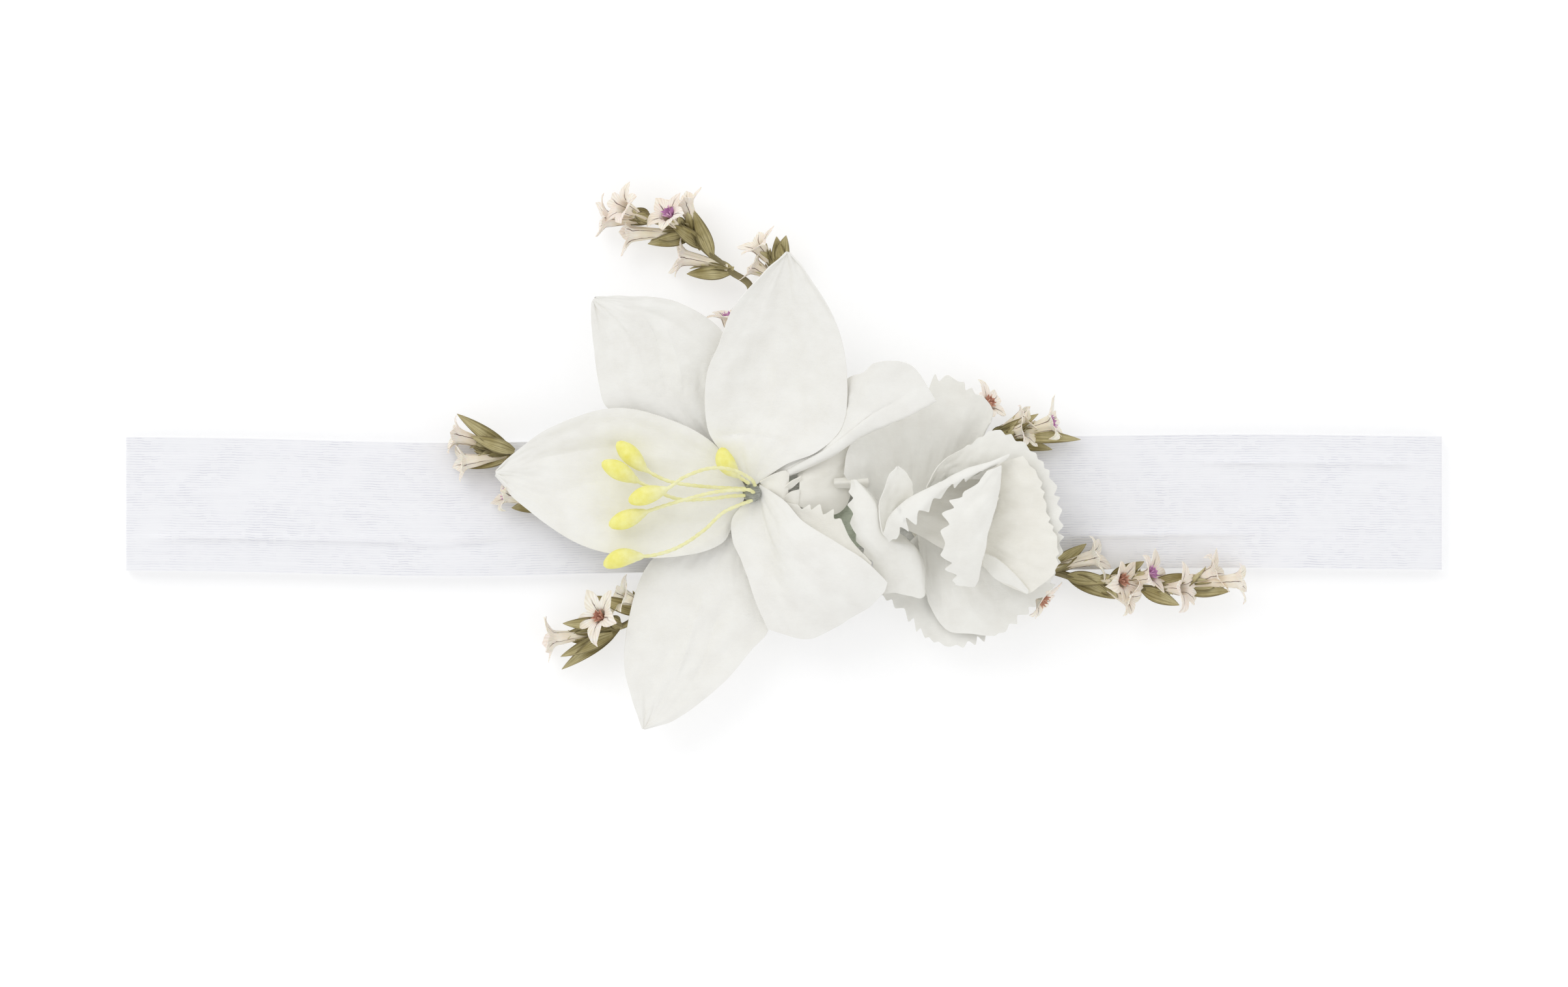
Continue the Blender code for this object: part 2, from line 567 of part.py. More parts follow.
CARNATION_SPRIGS = {
    "statice_right_upper": {
        "stem": [(3.5, 9.6, 0), (6, 12.5, -0.1), (9.5, 14.6, -0.1), (14, 15.4, 0)],
        "florets": [
            ((10.5, 14.8, 0), (15.4, 16, 3.2), 3.0),
            ((13.5, 15.3, 0), (20.4, 18.2, 1.6), 2.8),
            ((9, 14.4, 0), (14, 20, 0.4), 2.2),
        ],
        "leaves": [((13, 15.2, 0), (24.5, 14, -0.2)), ((11, 14.9, 0), (19.2, 12.1, -0.4))],
    },
    "statice_top_right": {
        "stem": [(-2.5, 10.4, 0), (1.5, 16, -0.2), (5.2, 20.8, -0.2)],
        "florets": [((4.4, 19.8, -0.2), (8.2, 21.8, 1.6), 2.8)],
        "leaves": [],
    },
    "statice_right_lower": {
        "stem": [(9.6, -4.6, 0), (15, -8.4, -0.1), (19.3, -10.5, 0), (24.9, -12.2, 0),
                 (30, -12.6, 0), (36.1, -13.7, 0), (43.6, -14, 0), (50, -12.5, 0.3)],
        "florets": [
            ((19, -10.4, 0), (28, -7.9, 1.6), 2.9),
            ((25, -12.2, 0), (32.6, -12.4, 2.4), 2.8),
            ((33, -13.1, 0), (38.4, -10.8, 2), 2.9),
            ((29, -12.6, 0), (35, -15.8, 1.6), 2.7),
            ((40, -14, 0), (45, -13.6, 2.2), 2.7),
            ((44, -13.9, 0), (50.2, -10, 1.8), 2.8),
            ((48, -13, 0.2), (55, -12, 1.8), 3.0),
        ],
        "leaves": [((19.5, -10.6, 0), (25.2, -5.7, 0.2)), ((27, -12.4, 0), (31, -15.6, -0.2)),
                   ((44, -14, 0), (52.2, -14, 0.2))],
    },
    "statice_lower_right": {
        "stem": [(7.4, -8, 0), (12.5, -12.4, -0.4), (15.8, -15.2, -0.8)],
        "florets": [((15, -14.6, -0.8), (18.4, -17, -0.9), 3.0)],
        "leaves": [],
    },
}


def place(point, size):
    """A point of a sprig in metres: it spreads with its flower, and its height stays."""
    return Vector((point[0] * size, point[1] * size, point[2])) * MM


def sprig_pieces(sprig, size):
    """The bmeshes of a sprig's stem, florets and leaves."""
    stem = [place(point, size) for point in sprig["stem"]]
    pieces = [smooth_tube(stem, lambda share: STEM_RADIUS, 2 * len(stem), 6)]
    for foot, mouth, radius in sprig["florets"]:
        start = place(foot, size)
        end = place(mouth, size)
        reach = end - start
        stations = [start, start + 0.55 * reach, end]
        radii = [FLORET_NECK, FLORET_NECK * 2, radius * MM]
        pieces.append(tube(stations, radii, 7))
    for foot, tip in sprig["leaves"]:
        start = place(foot, size)
        end = place(tip, size)
        pieces.append(tube([start, (start + end) / 2, end], [STEM_RADIUS, LEAF_RADIUS, STEM_RADIUS / 2], 5))
    return pieces


def build_sprig(name, sprig, size, centre):
    """One solid: the stem joined with its florets and leaves."""
    pieces = sprig_pieces(sprig, size)
    origin = Vector((centre.x, centre.y, STEM_BED))
    made = add_object(name, pieces[0], "statice", origin=origin)
    others = bpy.data.collections.new(name + "_pieces")
    bpy.context.scene.collection.children.link(others)
    for index, piece in enumerate(pieces[1:]):
        guide = add_object(f"{name}_piece_{index}", piece, "statice", origin=origin)
        bpy.context.scene.collection.objects.unlink(guide)
        others.objects.link(guide)
        guide.hide_render = True
        guide.display_type = "WIRE"
    union = made.modifiers.new("union", "BOOLEAN")
    union.operation = "UNION"
    union.solver = "EXACT"
    union.operand_type = "COLLECTION"
    union.collection = others


def build_statice():
    for name, sprig in LILY_SPRIGS.items():
        build_sprig(name, sprig, LILY_SIZE, LILY_ORIGIN)
    for name, sprig in CARNATION_SPRIGS.items():
        build_sprig(name, sprig, CARNATION_SIZE, CARNATION_ORIGIN)


clear_scene()
build_ribbon()
build_felt()
build_lily()
build_carnation()
build_wires()
build_statice()
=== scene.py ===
# %% [markdown]
# # A tie-on flower crown of paper and dried flowers
# The crown is a white satin ribbon that carries one big paper lily, one paper carnation and sprigs of
# dried statice. It lies flat on a table and is seen from straight above. Its solids, sizes and fold
# joints are made elsewhere and loaded here as a fixed frame, and this script gives them their looks.

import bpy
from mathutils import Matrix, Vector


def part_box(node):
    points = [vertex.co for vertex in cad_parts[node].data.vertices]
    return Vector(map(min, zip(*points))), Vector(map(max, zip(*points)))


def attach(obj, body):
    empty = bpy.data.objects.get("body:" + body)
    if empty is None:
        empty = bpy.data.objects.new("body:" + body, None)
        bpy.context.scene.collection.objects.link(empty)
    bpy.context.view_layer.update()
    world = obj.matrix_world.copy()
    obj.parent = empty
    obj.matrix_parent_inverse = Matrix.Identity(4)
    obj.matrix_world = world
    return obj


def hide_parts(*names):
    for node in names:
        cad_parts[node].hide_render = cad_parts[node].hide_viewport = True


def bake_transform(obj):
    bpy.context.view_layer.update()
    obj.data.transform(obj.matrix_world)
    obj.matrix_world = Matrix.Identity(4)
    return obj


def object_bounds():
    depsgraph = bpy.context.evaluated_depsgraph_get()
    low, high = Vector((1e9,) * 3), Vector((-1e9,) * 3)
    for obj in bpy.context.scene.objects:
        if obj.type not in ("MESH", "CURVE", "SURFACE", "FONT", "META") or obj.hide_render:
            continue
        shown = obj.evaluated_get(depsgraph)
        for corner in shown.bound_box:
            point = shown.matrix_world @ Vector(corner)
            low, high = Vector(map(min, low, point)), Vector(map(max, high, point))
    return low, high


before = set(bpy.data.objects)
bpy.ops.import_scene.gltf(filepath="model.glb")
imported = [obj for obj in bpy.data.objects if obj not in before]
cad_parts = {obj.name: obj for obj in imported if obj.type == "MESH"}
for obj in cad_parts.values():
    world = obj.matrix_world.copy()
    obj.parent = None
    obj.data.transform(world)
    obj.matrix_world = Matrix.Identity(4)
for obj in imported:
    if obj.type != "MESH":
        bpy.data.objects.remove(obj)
cad_low, cad_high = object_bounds()

# %% Modules and places
import math
import random

import bmesh
import bpy
from mathutils import Matrix, Quaternion, Vector, noise

MM = 0.001


def node_middle(name):
    """The middle of a CAD node's box."""
    low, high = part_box(name)
    return (low + high) / 2


def flower_foot(name):
    """The point that a flower stands on: the middle of the underside of its innermost node."""
    middle = node_middle(name)
    return Vector((middle.x, middle.y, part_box(name)[0].z))


LILY_FOOT = flower_foot("lily_throat")
CARNATION_FOOT = flower_foot("carnation_core")
STEM_RADIUS = 0.5 * MM
STEM_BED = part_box("felt_base")[1].z + 0.3 * MM + STEM_RADIUS
print("lily stands at", LILY_FOOT, "and carnation at", CARNATION_FOOT)

# %% [markdown]
# ## Camera, floor and light
# A flat lay is shot from straight above with a long lens, so that nothing leans outwards. A lens of
# normal length would show the sides of the taller petals. White paper shows its folds only in soft
# light, so an even pale sky gives most of it, and two large discs make the upper left a little
# brighter. The floor glows faintly, as a light table does, which keeps the shadows on it pale.

# %% Camera
CAMERA_HEIGHT = 3.0
VIEW_WIDTH = 293.7 * MM
VIEW_CENTRE = (0, 1.9 * MM)


def make_camera():
    data = bpy.data.cameras.new("camera")
    made = bpy.data.objects.new("camera", data)
    bpy.context.scene.collection.objects.link(made)
    ribbon_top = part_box("ribbon_front")[1].z
    made.location = (*VIEW_CENTRE, CAMERA_HEIGHT)
    data.lens = data.sensor_width * (CAMERA_HEIGHT - ribbon_top) / VIEW_WIDTH
    data.clip_start = 0.1
    data.clip_end = 20
    bpy.context.scene.camera = made
    print("lens:", round(data.lens), "mm")


make_camera()

# %% Floor
FLOOR_SIZE = 8.0
FLOOR_COLOUR = (0.62, 0.62, 0.62)
FLOOR_GLOW = 0.44


def make_floor():
    bm = bmesh.new()
    bmesh.ops.create_grid(bm, x_segments=1, y_segments=1, size=FLOOR_SIZE / 2)
    mesh = bpy.data.meshes.new("floor")
    bm.to_mesh(mesh)
    bm.free()
    floor = bpy.data.objects.new("floor", mesh)
    floor.location.z = cad_low.z
    finish = bpy.data.materials.new("floor")
    finish.use_nodes = True
    shader = finish.node_tree.nodes["Principled BSDF"]
    shader.inputs["Base Color"].default_value = (*FLOOR_COLOUR, 1)
    shader.inputs["Roughness"].default_value = 0.9
    shader.inputs["Specular IOR Level"].default_value = 0.1
    shader.inputs["Emission Color"].default_value = (1, 1, 1, 1)
    shader.inputs["Emission Strength"].default_value = FLOOR_GLOW
    mesh.materials.append(finish)
    bpy.context.scene.collection.objects.link(floor)
    print("floor at", round(floor.location.z / MM, 2), "mm")


make_floor()

# %% Sky and lights
SKY_COLOUR = (0.985, 0.99, 1.0)
SKY_STRENGTH = 0.85


def make_light(name, location, size, energy):
    data = bpy.data.lights.new(name, "AREA")
    data.shape = "DISK"
    data.size = size
    data.energy = energy
    made = bpy.data.objects.new(name, data)
    made.location = location
    made.rotation_euler = Vector(location).to_track_quat("Z", "Y").to_euler()
    bpy.context.scene.collection.objects.link(made)


def make_sky():
    world = bpy.data.worlds.new("sky")
    world.use_nodes = True
    background = world.node_tree.nodes["Background"]
    background.inputs["Color"].default_value = (*SKY_COLOUR, 1)
    background.inputs["Strength"].default_value = SKY_STRENGTH
    bpy.context.scene.world = world


make_sky()
make_light("key", location=(-0.9, 1.1, 1.5), size=1.3, energy=7.5)
make_light("fill", location=(1.4, -0.8, 1.6), size=1.6, energy=3)
bpy.context.scene.view_settings.view_transform = "Standard"
print("lights:", [light.name for light in bpy.data.lights])

# %% [markdown]
# ## Node groups and materials
# Paper, felt, thread and dried leaves all have a fine fibrous grain and a slight unevenness of
# colour, so both are node groups that each material places with its own values. Painting them by
# hand would tie the pattern to one view, and a picture would blur in close views.

# %% Helpers for node trees
def add_node(tree, kind, settings=None, **inputs):
    """A node with some of its settings and inputs set. An input's name has _ for each space."""
    made = tree.nodes.new(kind)
    for name, value in (settings or {}).items():
        setattr(made, name, value)
    for name, value in inputs.items():
        socket = made.inputs[name.replace("_", " ")]
        if isinstance(value, bpy.types.NodeSocket):
            tree.links.new(value, socket)
        else:
            socket.default_value = value
    return made


def math_node(tree, operation, first, second=None, third=None, clamp=False):
    """The output of a Math node. Each of its values is a number or a socket."""
    made = tree.nodes.new("ShaderNodeMath")
    made.operation = operation
    made.use_clamp = clamp
    for socket, value in zip(made.inputs, (first, second, third)):
        if isinstance(value, bpy.types.NodeSocket):
            tree.links.new(value, socket)
        elif value is not None:
            socket.default_value = value
    return made.outputs[0]


def mix_colours(tree, factor, first, second):
    """The output of a colour mix. Each value is a socket, a number or a colour."""
    made = tree.nodes.new("ShaderNodeMix")
    made.data_type = "RGBA"
    for index, value in ((0, factor), (6, first), (7, second)):
        if isinstance(value, bpy.types.NodeSocket):
            tree.links.new(value, made.inputs[index])
        else:
            made.inputs[index].default_value = value
    return made.outputs[2]

# %% Helpers for node groups and colours
FLOAT = "NodeSocketFloat"
VECTOR = "NodeSocketVector"


def start_group(name, inputs, outputs):
    """A shader node group with named sockets. Gives its tree, its input node and its output node."""
    tree = bpy.data.node_groups.new(name, "ShaderNodeTree")
    for label, kind in inputs:
        tree.interface.new_socket(label, in_out="INPUT", socket_type=kind)
    for label, kind in outputs:
        tree.interface.new_socket(label, in_out="OUTPUT", socket_type=kind)
    return tree, tree.nodes.new("NodeGroupInput"), tree.nodes.new("NodeGroupOutput")


def use_group(tree, group, **inputs):
    """Places a node group in a tree, with its inputs set."""
    return add_node(tree, "ShaderNodeGroup", {"node_tree": group}, **inputs)


def rgb(red, green, blue):
    """A linear colour with alpha from the 0 to 255 values that a paint chart gives."""
    def linear(value):
        share = value / 255
        return share / 12.92 if share <= 0.04045 else ((share + 0.055) / 1.055) ** 2.4

    return (linear(red), linear(green), linear(blue), 1)

# %% Shared groups: felted fibres and mottled tone
def fibre_group():
    """Long fine fibres that cross in two directions, as a height from 0 to 1."""
    tree, given, result = start_group(
        "felted fibres", [("Vector", VECTOR), ("Scale", FLOAT)], [("Height", FLOAT)]
    )
    heights = []
    for turn, stretch in ((0.5, 0.16), (-0.7, 0.2), (1.6, 0.18)):
        placed = add_node(tree, "ShaderNodeMapping", Vector=given.outputs["Vector"])
        placed.inputs["Rotation"].default_value = (0.3 * turn, 0.2, turn)
        placed.inputs["Scale"].default_value = (stretch, 1, 1)
        threads = add_node(
            tree,
            "ShaderNodeTexNoise",
            Vector=placed.outputs[0],
            Scale=given.outputs["Scale"],
            Detail=3.0,
            Roughness=0.6,
            Distortion=0.8,
        )
        ridge = math_node(tree, "SUBTRACT", threads.outputs["Fac"], 0.5)
        ridge = math_node(tree, "ABSOLUTE", ridge)
        heights.append(math_node(tree, "MULTIPLY_ADD", ridge, -5.0, 1.0, clamp=True))
    total = math_node(tree, "ADD", heights[0], heights[1])
    total = math_node(tree, "ADD", total, heights[2])
    total = math_node(tree, "DIVIDE", total, 3.0)
    tree.links.new(total, result.inputs["Height"])
    return tree


def mottle_group():
    """Soft cloudy unevenness in two sizes, as a share from 0 to 1."""
    tree, given, result = start_group(
        "mottle", [("Vector", VECTOR), ("Scale", FLOAT)], [("Share", FLOAT)]
    )
    broad = add_node(
        tree,
        "ShaderNodeTexNoise",
        Vector=given.outputs["Vector"],
        Scale=given.outputs["Scale"],
        Detail=4.0,
        Roughness=0.55,
    )
    share = add_node(tree, "ShaderNodeMapRange", Value=broad.outputs["Fac"])
    share.inputs["From Min"].default_value = 0.32
    share.inputs["From Max"].default_value = 0.68
    tree.links.new(share.outputs[0], result.inputs["Share"])
    return tree


FIBRES = fibre_group()
MOTTLE = mottle_group()
print("node groups:", [group.name for group in bpy.data.node_groups])

# %% A new material
def start_material(name):
    """A new material. Gives it, its node tree and its Principled shader."""
    made = bpy.data.materials.new(name)
    made.use_nodes = True
    return made, made.node_tree, made.node_tree.nodes["Principled BSDF"]


def finish_bump(tree, shader, height, strength, distance):
    """Gives a shader the fine relief of a height. The distance is in metres."""
    bump = add_node(tree, "ShaderNodeBump", Height=height, Strength=strength, Distance=distance)
    tree.links.new(bump.outputs[0], shader.inputs["Normal"])

# %% [markdown]
# ### Handmade paper
# The petals are mulberry paper: matt, fibrous, and pressed between ribbed rollers, which leaves faint
# lines along and across each petal. The lines need the petal's own directions, so they read its UV
# map, in millimetres from its base and from its middle. The fibres run any way and read the object.
# Paper deep in a flower is painted a little warmer and darker: painted bounce light, for the light that
# reaches it off other paper, and painted shade.

# %% Paper
# How far apart the pressed lines are, along and across a petal, in millimetres.
LINE_PITCHES = (("X", 1.7), ("Y", 2.3))


def paper_material(name, light, dark, line_height):
    """Handmade paper between two tones, with pressed lines of the height given."""
    made, tree, shader = start_material(name)
    place = add_node(tree, "ShaderNodeTexCoord")
    tone = use_group(tree, MOTTLE, Vector=place.outputs["Object"], Scale=220.0)
    colour = mix_colours(tree, tone.outputs["Share"], dark, light)
    fibres = use_group(tree, FIBRES, Vector=place.outputs["Object"], Scale=1500.0)
    pulp = add_node(
        tree, "ShaderNodeTexNoise", Vector=place.outputs["Object"], Scale=2600.0, Detail=3.0
    )
    flow = add_node(tree, "ShaderNodeSeparateXYZ", Vector=place.outputs["UV"])
    lines = []
    for axis, pitch in LINE_PITCHES:
        swing = math_node(tree, "MULTIPLY_ADD", tone.outputs["Share"], 0.9, flow.outputs[axis])
        swing = math_node(tree, "MULTIPLY", swing, 2 * math.pi / pitch)
        lines.append(math_node(tree, "SINE", swing))
    pressed = math_node(tree, "ADD", lines[0], lines[1])
    pressed = math_node(tree, "MULTIPLY", pressed, line_height)
    height = math_node(tree, "MULTIPLY_ADD", fibres.outputs["Height"], 0.8, pressed)
    height = math_node(tree, "MULTIPLY_ADD", pulp.outputs["Fac"], 0.5, height)
    pale = math_node(tree, "MULTIPLY", fibres.outputs["Height"], 0.35)
    tree.links.new(mix_colours(tree, pale, colour, light), shader.inputs["Base Color"])
    shader.inputs["Roughness"].default_value = 0.82
    shader.inputs["Specular IOR Level"].default_value = 0.25
    finish_bump(tree, shader, height, 0.35, 0.00009)
    return made


LILY_PAPER = paper_material("lily paper", rgb(243, 242, 237), rgb(236, 234, 228), 0.16)
CARNATION_PAPER = paper_material("carnation paper", rgb(243, 242, 236), rgb(235, 233, 226), 0.07)
# Painted light: the paper deep in the flowers is warmer and darker than the lily paper, as painted bounce
# light and painted shade.
BOUNCE_PAINTED_PAPER = paper_material("paper with painted bounce light", rgb(243, 241, 233), rgb(234, 231, 221), 0.16)

# %% [markdown]
# ### Wax, thread, felt, glue and wire
# The stamens are threads dipped in yellow wax, which is smooth and slightly translucent. The thread
# shows where there is no wax, so the finish reads how far along the stamen a point is from its UV map.

# %% Stamen wax and thread
def stamen_material():
    """Thread below and yellow wax above, by the UV map's share of the head."""
    made, tree, shader = start_material("stamen wax")
    place = add_node(tree, "ShaderNodeTexCoord")
    flow = add_node(tree, "ShaderNodeSeparateXYZ", Vector=place.outputs["UV"])
    waxed = add_node(tree, "ShaderNodeMapRange", Value=flow.outputs["Y"])
    waxed.inputs["From Min"].default_value = 0.1
    waxed.inputs["From Max"].default_value = 0.6
    tone = use_group(tree, MOTTLE, Vector=place.outputs["Object"], Scale=700.0)
    wax = mix_colours(tree, tone.outputs["Share"], rgb(240, 233, 120), rgb(247, 243, 152))
    thread = mix_colours(tree, tone.outputs["Share"], rgb(236, 232, 170), rgb(244, 242, 198))
    tree.links.new(mix_colours(tree, waxed.outputs[0], thread, wax), shader.inputs["Base Color"])
    rough = math_node(tree, "MULTIPLY_ADD", waxed.outputs[0], -0.25, 0.75)
    tree.links.new(rough, shader.inputs["Roughness"])
    fibres = use_group(tree, FIBRES, Vector=place.outputs["Object"], Scale=2500.0)
    bare = math_node(tree, "SUBTRACT", 1.05, waxed.outputs[0])
    finish_bump(tree, shader, math_node(tree, "MULTIPLY", fibres.outputs["Height"], bare), 0.4, 0.0001)
    shader.inputs["Subsurface Weight"].default_value = 0.15
    shader.inputs["Subsurface Radius"].default_value = (0.001, 0.0009, 0.0003)
    return made


STAMEN_WAX = stamen_material()

# %% Binding thread, felt, glue and wire wrap
def fibrous_material(name, light, dark, scale, strength):
    """Felt, thread or tape: matt fibres in a mottled tone, with painted shade in the hollows between fibres
    and lighter tops.
    """
    made, tree, shader = start_material(name)
    place = add_node(tree, "ShaderNodeTexCoord")
    tone = use_group(tree, MOTTLE, Vector=place.outputs["Object"], Scale=scale / 4)
    fibres = use_group(tree, FIBRES, Vector=place.outputs["Object"], Scale=scale)
    # The mottle is the fibres' own uneven tone. The fibre height adds painted shade in the hollows and
    # lightens the tops.
    share = math_node(tree, "MULTIPLY", tone.outputs["Share"], 0.5)
    share = math_node(tree, "MULTIPLY_ADD", fibres.outputs["Height"], 0.5, share, clamp=True)
    tree.links.new(mix_colours(tree, share, dark, light), shader.inputs["Base Color"])
    shader.inputs["Roughness"].default_value = 0.95
    shader.inputs["Specular IOR Level"].default_value = 0.2
    finish_bump(tree, shader, fibres.outputs["Height"], strength, 0.0003)
    return made


def glue_material():
    """Hot glue: glossy, cloudy and slightly see-through."""
    made, tree, shader = start_material("hot glue")
    place = add_node(tree, "ShaderNodeTexCoord")
    tone = use_group(tree, MOTTLE, Vector=place.outputs["Object"], Scale=300.0)
    cloudy = mix_colours(tree, tone.outputs["Share"], rgb(214, 210, 196), rgb(236, 233, 222))
    tree.links.new(cloudy, shader.inputs["Base Color"])
    shader.inputs["Roughness"].default_value = 0.22
    shader.inputs["Subsurface Weight"].default_value = 0.4
    shader.inputs["Subsurface Radius"].default_value = (0.002, 0.002, 0.0018)
    finish_bump(tree, shader, tone.outputs["Share"], 0.2, 0.0003)
    return made


BINDING = fibrous_material("binding thread", rgb(205, 206, 198), rgb(120, 123, 112), 2500.0, 0.8)
FELT = fibrous_material("wool felt", rgb(240, 240, 236), rgb(208, 208, 202), 1400.0, 0.9)
STEM_TAPE = fibrous_material("stem tape", rgb(204, 211, 194), rgb(158, 166, 146), 1800.0, 0.5)
GLUE = glue_material()

# %% [markdown]
# ### Satin
# Satin shows rows of long floats, each shiny for its whole length, with a short dull dash where the
# threads beside it dive under. A brick pattern in the ribbon's own UV map, in millimetres, gives each
# float a tone at random, and a mask between the rows turns the tones into dashes of painted shade in
# the dips between rows. A cloudy mask then lets the weave fade in and out, because an even pattern
# would look printed.

# %% Satin
# In millimetres, as the ribbon's UV map is.
FLOAT_LENGTH = 1.3
FLOAT_ROW = 0.48


def wavering_place(tree, place):
    """The ribbon's UV place, moved up to half a millimetre so that no row of threads is quite straight."""
    waver = add_node(tree, "ShaderNodeTexNoise", Vector=place, Scale=0.35, Detail=2.0)
    shift = add_node(tree, "ShaderNodeVectorMath", {"operation": "SCALE"}, Scale=0.5)
    tree.links.new(waver.outputs["Color"], shift.inputs[0])
    bent = add_node(tree, "ShaderNodeVectorMath", {"operation": "ADD"})
    tree.links.new(place, bent.inputs[0])
    tree.links.new(shift.outputs[0], bent.inputs[1])
    return bent.outputs[0]


def shade_dashes(tree, bent):
    """A mask of the dashes of painted shade in the dips between rows of floats."""
    floats = add_node(
        tree,
        "ShaderNodeTexBrick",
        {"offset": 0.37, "offset_frequency": 2, "squash": 1.35, "squash_frequency": 3},
        Vector=bent,
        Color1=(1, 1, 1, 1),
        Color2=(0, 0, 0, 1),
        Scale=1.0,
    )
    floats.inputs["Mortar Size"].default_value = 0.0
    floats.inputs["Brick Width"].default_value = FLOAT_LENGTH
    floats.inputs["Row Height"].default_value = FLOAT_ROW
    lengthwise = add_node(tree, "ShaderNodeSeparateXYZ", Vector=bent)
    row = math_node(tree, "FRACT", math_node(tree, "DIVIDE", lengthwise.outputs["Y"], FLOAT_ROW))
    edge = math_node(tree, "ABSOLUTE", math_node(tree, "SUBTRACT", row, 0.5))
    edge = math_node(tree, "MULTIPLY_ADD", edge, 6.0, -1.7, clamp=True)
    return math_node(tree, "MULTIPLY", edge, floats.outputs["Color"])


def satin_material():
    """White satin with long faint streaks, and dashes of painted shade where its weave shows."""
    made, tree, shader = start_material("satin")
    place = add_node(tree, "ShaderNodeTexCoord")
    bent = wavering_place(tree, place.outputs["UV"])
    streaks = add_node(tree, "ShaderNodeMapping", Vector=bent)
    streaks.inputs["Scale"].default_value = (0.03, 1.4, 1)
    streak = add_node(tree, "ShaderNodeTexNoise", Vector=streaks.outputs[0], Scale=1.0, Detail=5.0)
    cloud = add_node(tree, "ShaderNodeTexNoise", Vector=place.outputs["UV"], Scale=0.12, Detail=3.0)
    woven = math_node(tree, "MULTIPLY_ADD", cloud.outputs["Fac"], 3.2, -1.0, clamp=True)
    dash_shade = math_node(tree, "MULTIPLY", shade_dashes(tree, bent), woven)
    plain = mix_colours(tree, streak.outputs["Fac"], rgb(239, 239, 242), rgb(247, 247, 249))
    # The dashes are painted shade: a darker, bluer grey where the threads dip between rows.
    tree.links.new(mix_colours(tree, dash_shade, plain, rgb(216, 216, 226)), shader.inputs["Base Color"])
    crown = math_node(tree, "SUBTRACT", 1.0, dash_shade)
    rough = math_node(tree, "MULTIPLY_ADD", crown, -0.2, 0.55)
    tree.links.new(rough, shader.inputs["Roughness"])
    height = math_node(tree, "MULTIPLY_ADD", streak.outputs["Fac"], 0.8, crown)
    shader.inputs["Sheen Weight"].default_value = 0.15
    shader.inputs["Anisotropic"].default_value = 0.4
    finish_bump(tree, shader, height, 0.45, 0.00007)
    return made


SATIN = satin_material()

# %% [markdown]
# ### Dried statice
# A statice flower is a papery cream calyx with five dark ribs that run up the tube into its pointed
# lobes. Its UV map counts the lobes round the tube and the way up it, so that a rib is a thin band in
# the middle of each lobe. The bracts and stems are khaki with dark striations along them.

# %% Calyx
def calyx_material():
    """A papery cream calyx, blushed in patches, with a dark rib in the middle of each lobe and painted shade
    on its lower tube.
    """
    made, tree, shader = start_material("dried calyx")
    place = add_node(tree, "ShaderNodeTexCoord")
    flow = add_node(tree, "ShaderNodeSeparateXYZ", Vector=place.outputs["UV"])
    tone = use_group(tree, MOTTLE, Vector=place.outputs["Object"], Scale=420.0)
    patch = use_group(tree, MOTTLE, Vector=place.outputs["Object"], Scale=90.0)
    cream = mix_colours(tree, tone.outputs["Share"], rgb(246, 238, 216), rgb(255, 252, 242))
    blush = mix_colours(tree, tone.outputs["Share"], rgb(243, 228, 218), rgb(253, 244, 236))
    paper = mix_colours(tree, patch.outputs["Share"], cream, blush)
    waver = math_node(tree, "MULTIPLY_ADD", tone.outputs["Share"], 0.14, flow.outputs["X"])
    across = math_node(tree, "FRACT", waver)
    across = math_node(tree, "ABSOLUTE", math_node(tree, "SUBTRACT", across, 0.57))
    rib = math_node(tree, "MULTIPLY_ADD", across, -22.0, 1.15, clamp=True)
    rise = math_node(tree, "MULTIPLY_ADD", flow.outputs["Y"], 9.0, -2.2, clamp=True)
    fade = math_node(tree, "MULTIPLY_ADD", flow.outputs["Y"], -6.0, 5.1, clamp=True)
    rib = math_node(tree, "MULTIPLY", math_node(tree, "MULTIPLY", rib, rise), fade)
    fine = math_node(tree, "SINE", math_node(tree, "MULTIPLY", flow.outputs["X"], 2 * math.pi * 7))
    fine = math_node(tree, "MULTIPLY_ADD", fine, 0.12, 0.1, clamp=True)
    # Painted shade: the lower part of the tube is mixed towards a darker yellow.
    throat = math_node(tree, "MULTIPLY_ADD", flow.outputs["Y"], -4.0, 2.6, clamp=True)
    striped = mix_colours(tree, fine, paper, rgb(196, 176, 146))
    shaded = mix_colours(tree, math_node(tree, "MULTIPLY", throat, 0.3), striped, rgb(208, 190, 138))
    tree.links.new(mix_colours(tree, rib, shaded, rgb(84, 44, 34)), shader.inputs["Base Color"])
    shader.inputs["Roughness"].default_value = 0.7
    shader.inputs["Subsurface Weight"].default_value = 0.3
    shader.inputs["Subsurface Radius"].default_value = (0.0008, 0.0006, 0.0004)
    crease = math_node(tree, "ADD", rib, fine)
    finish_bump(tree, shader, crease, 0.5, 0.0001)
    return made

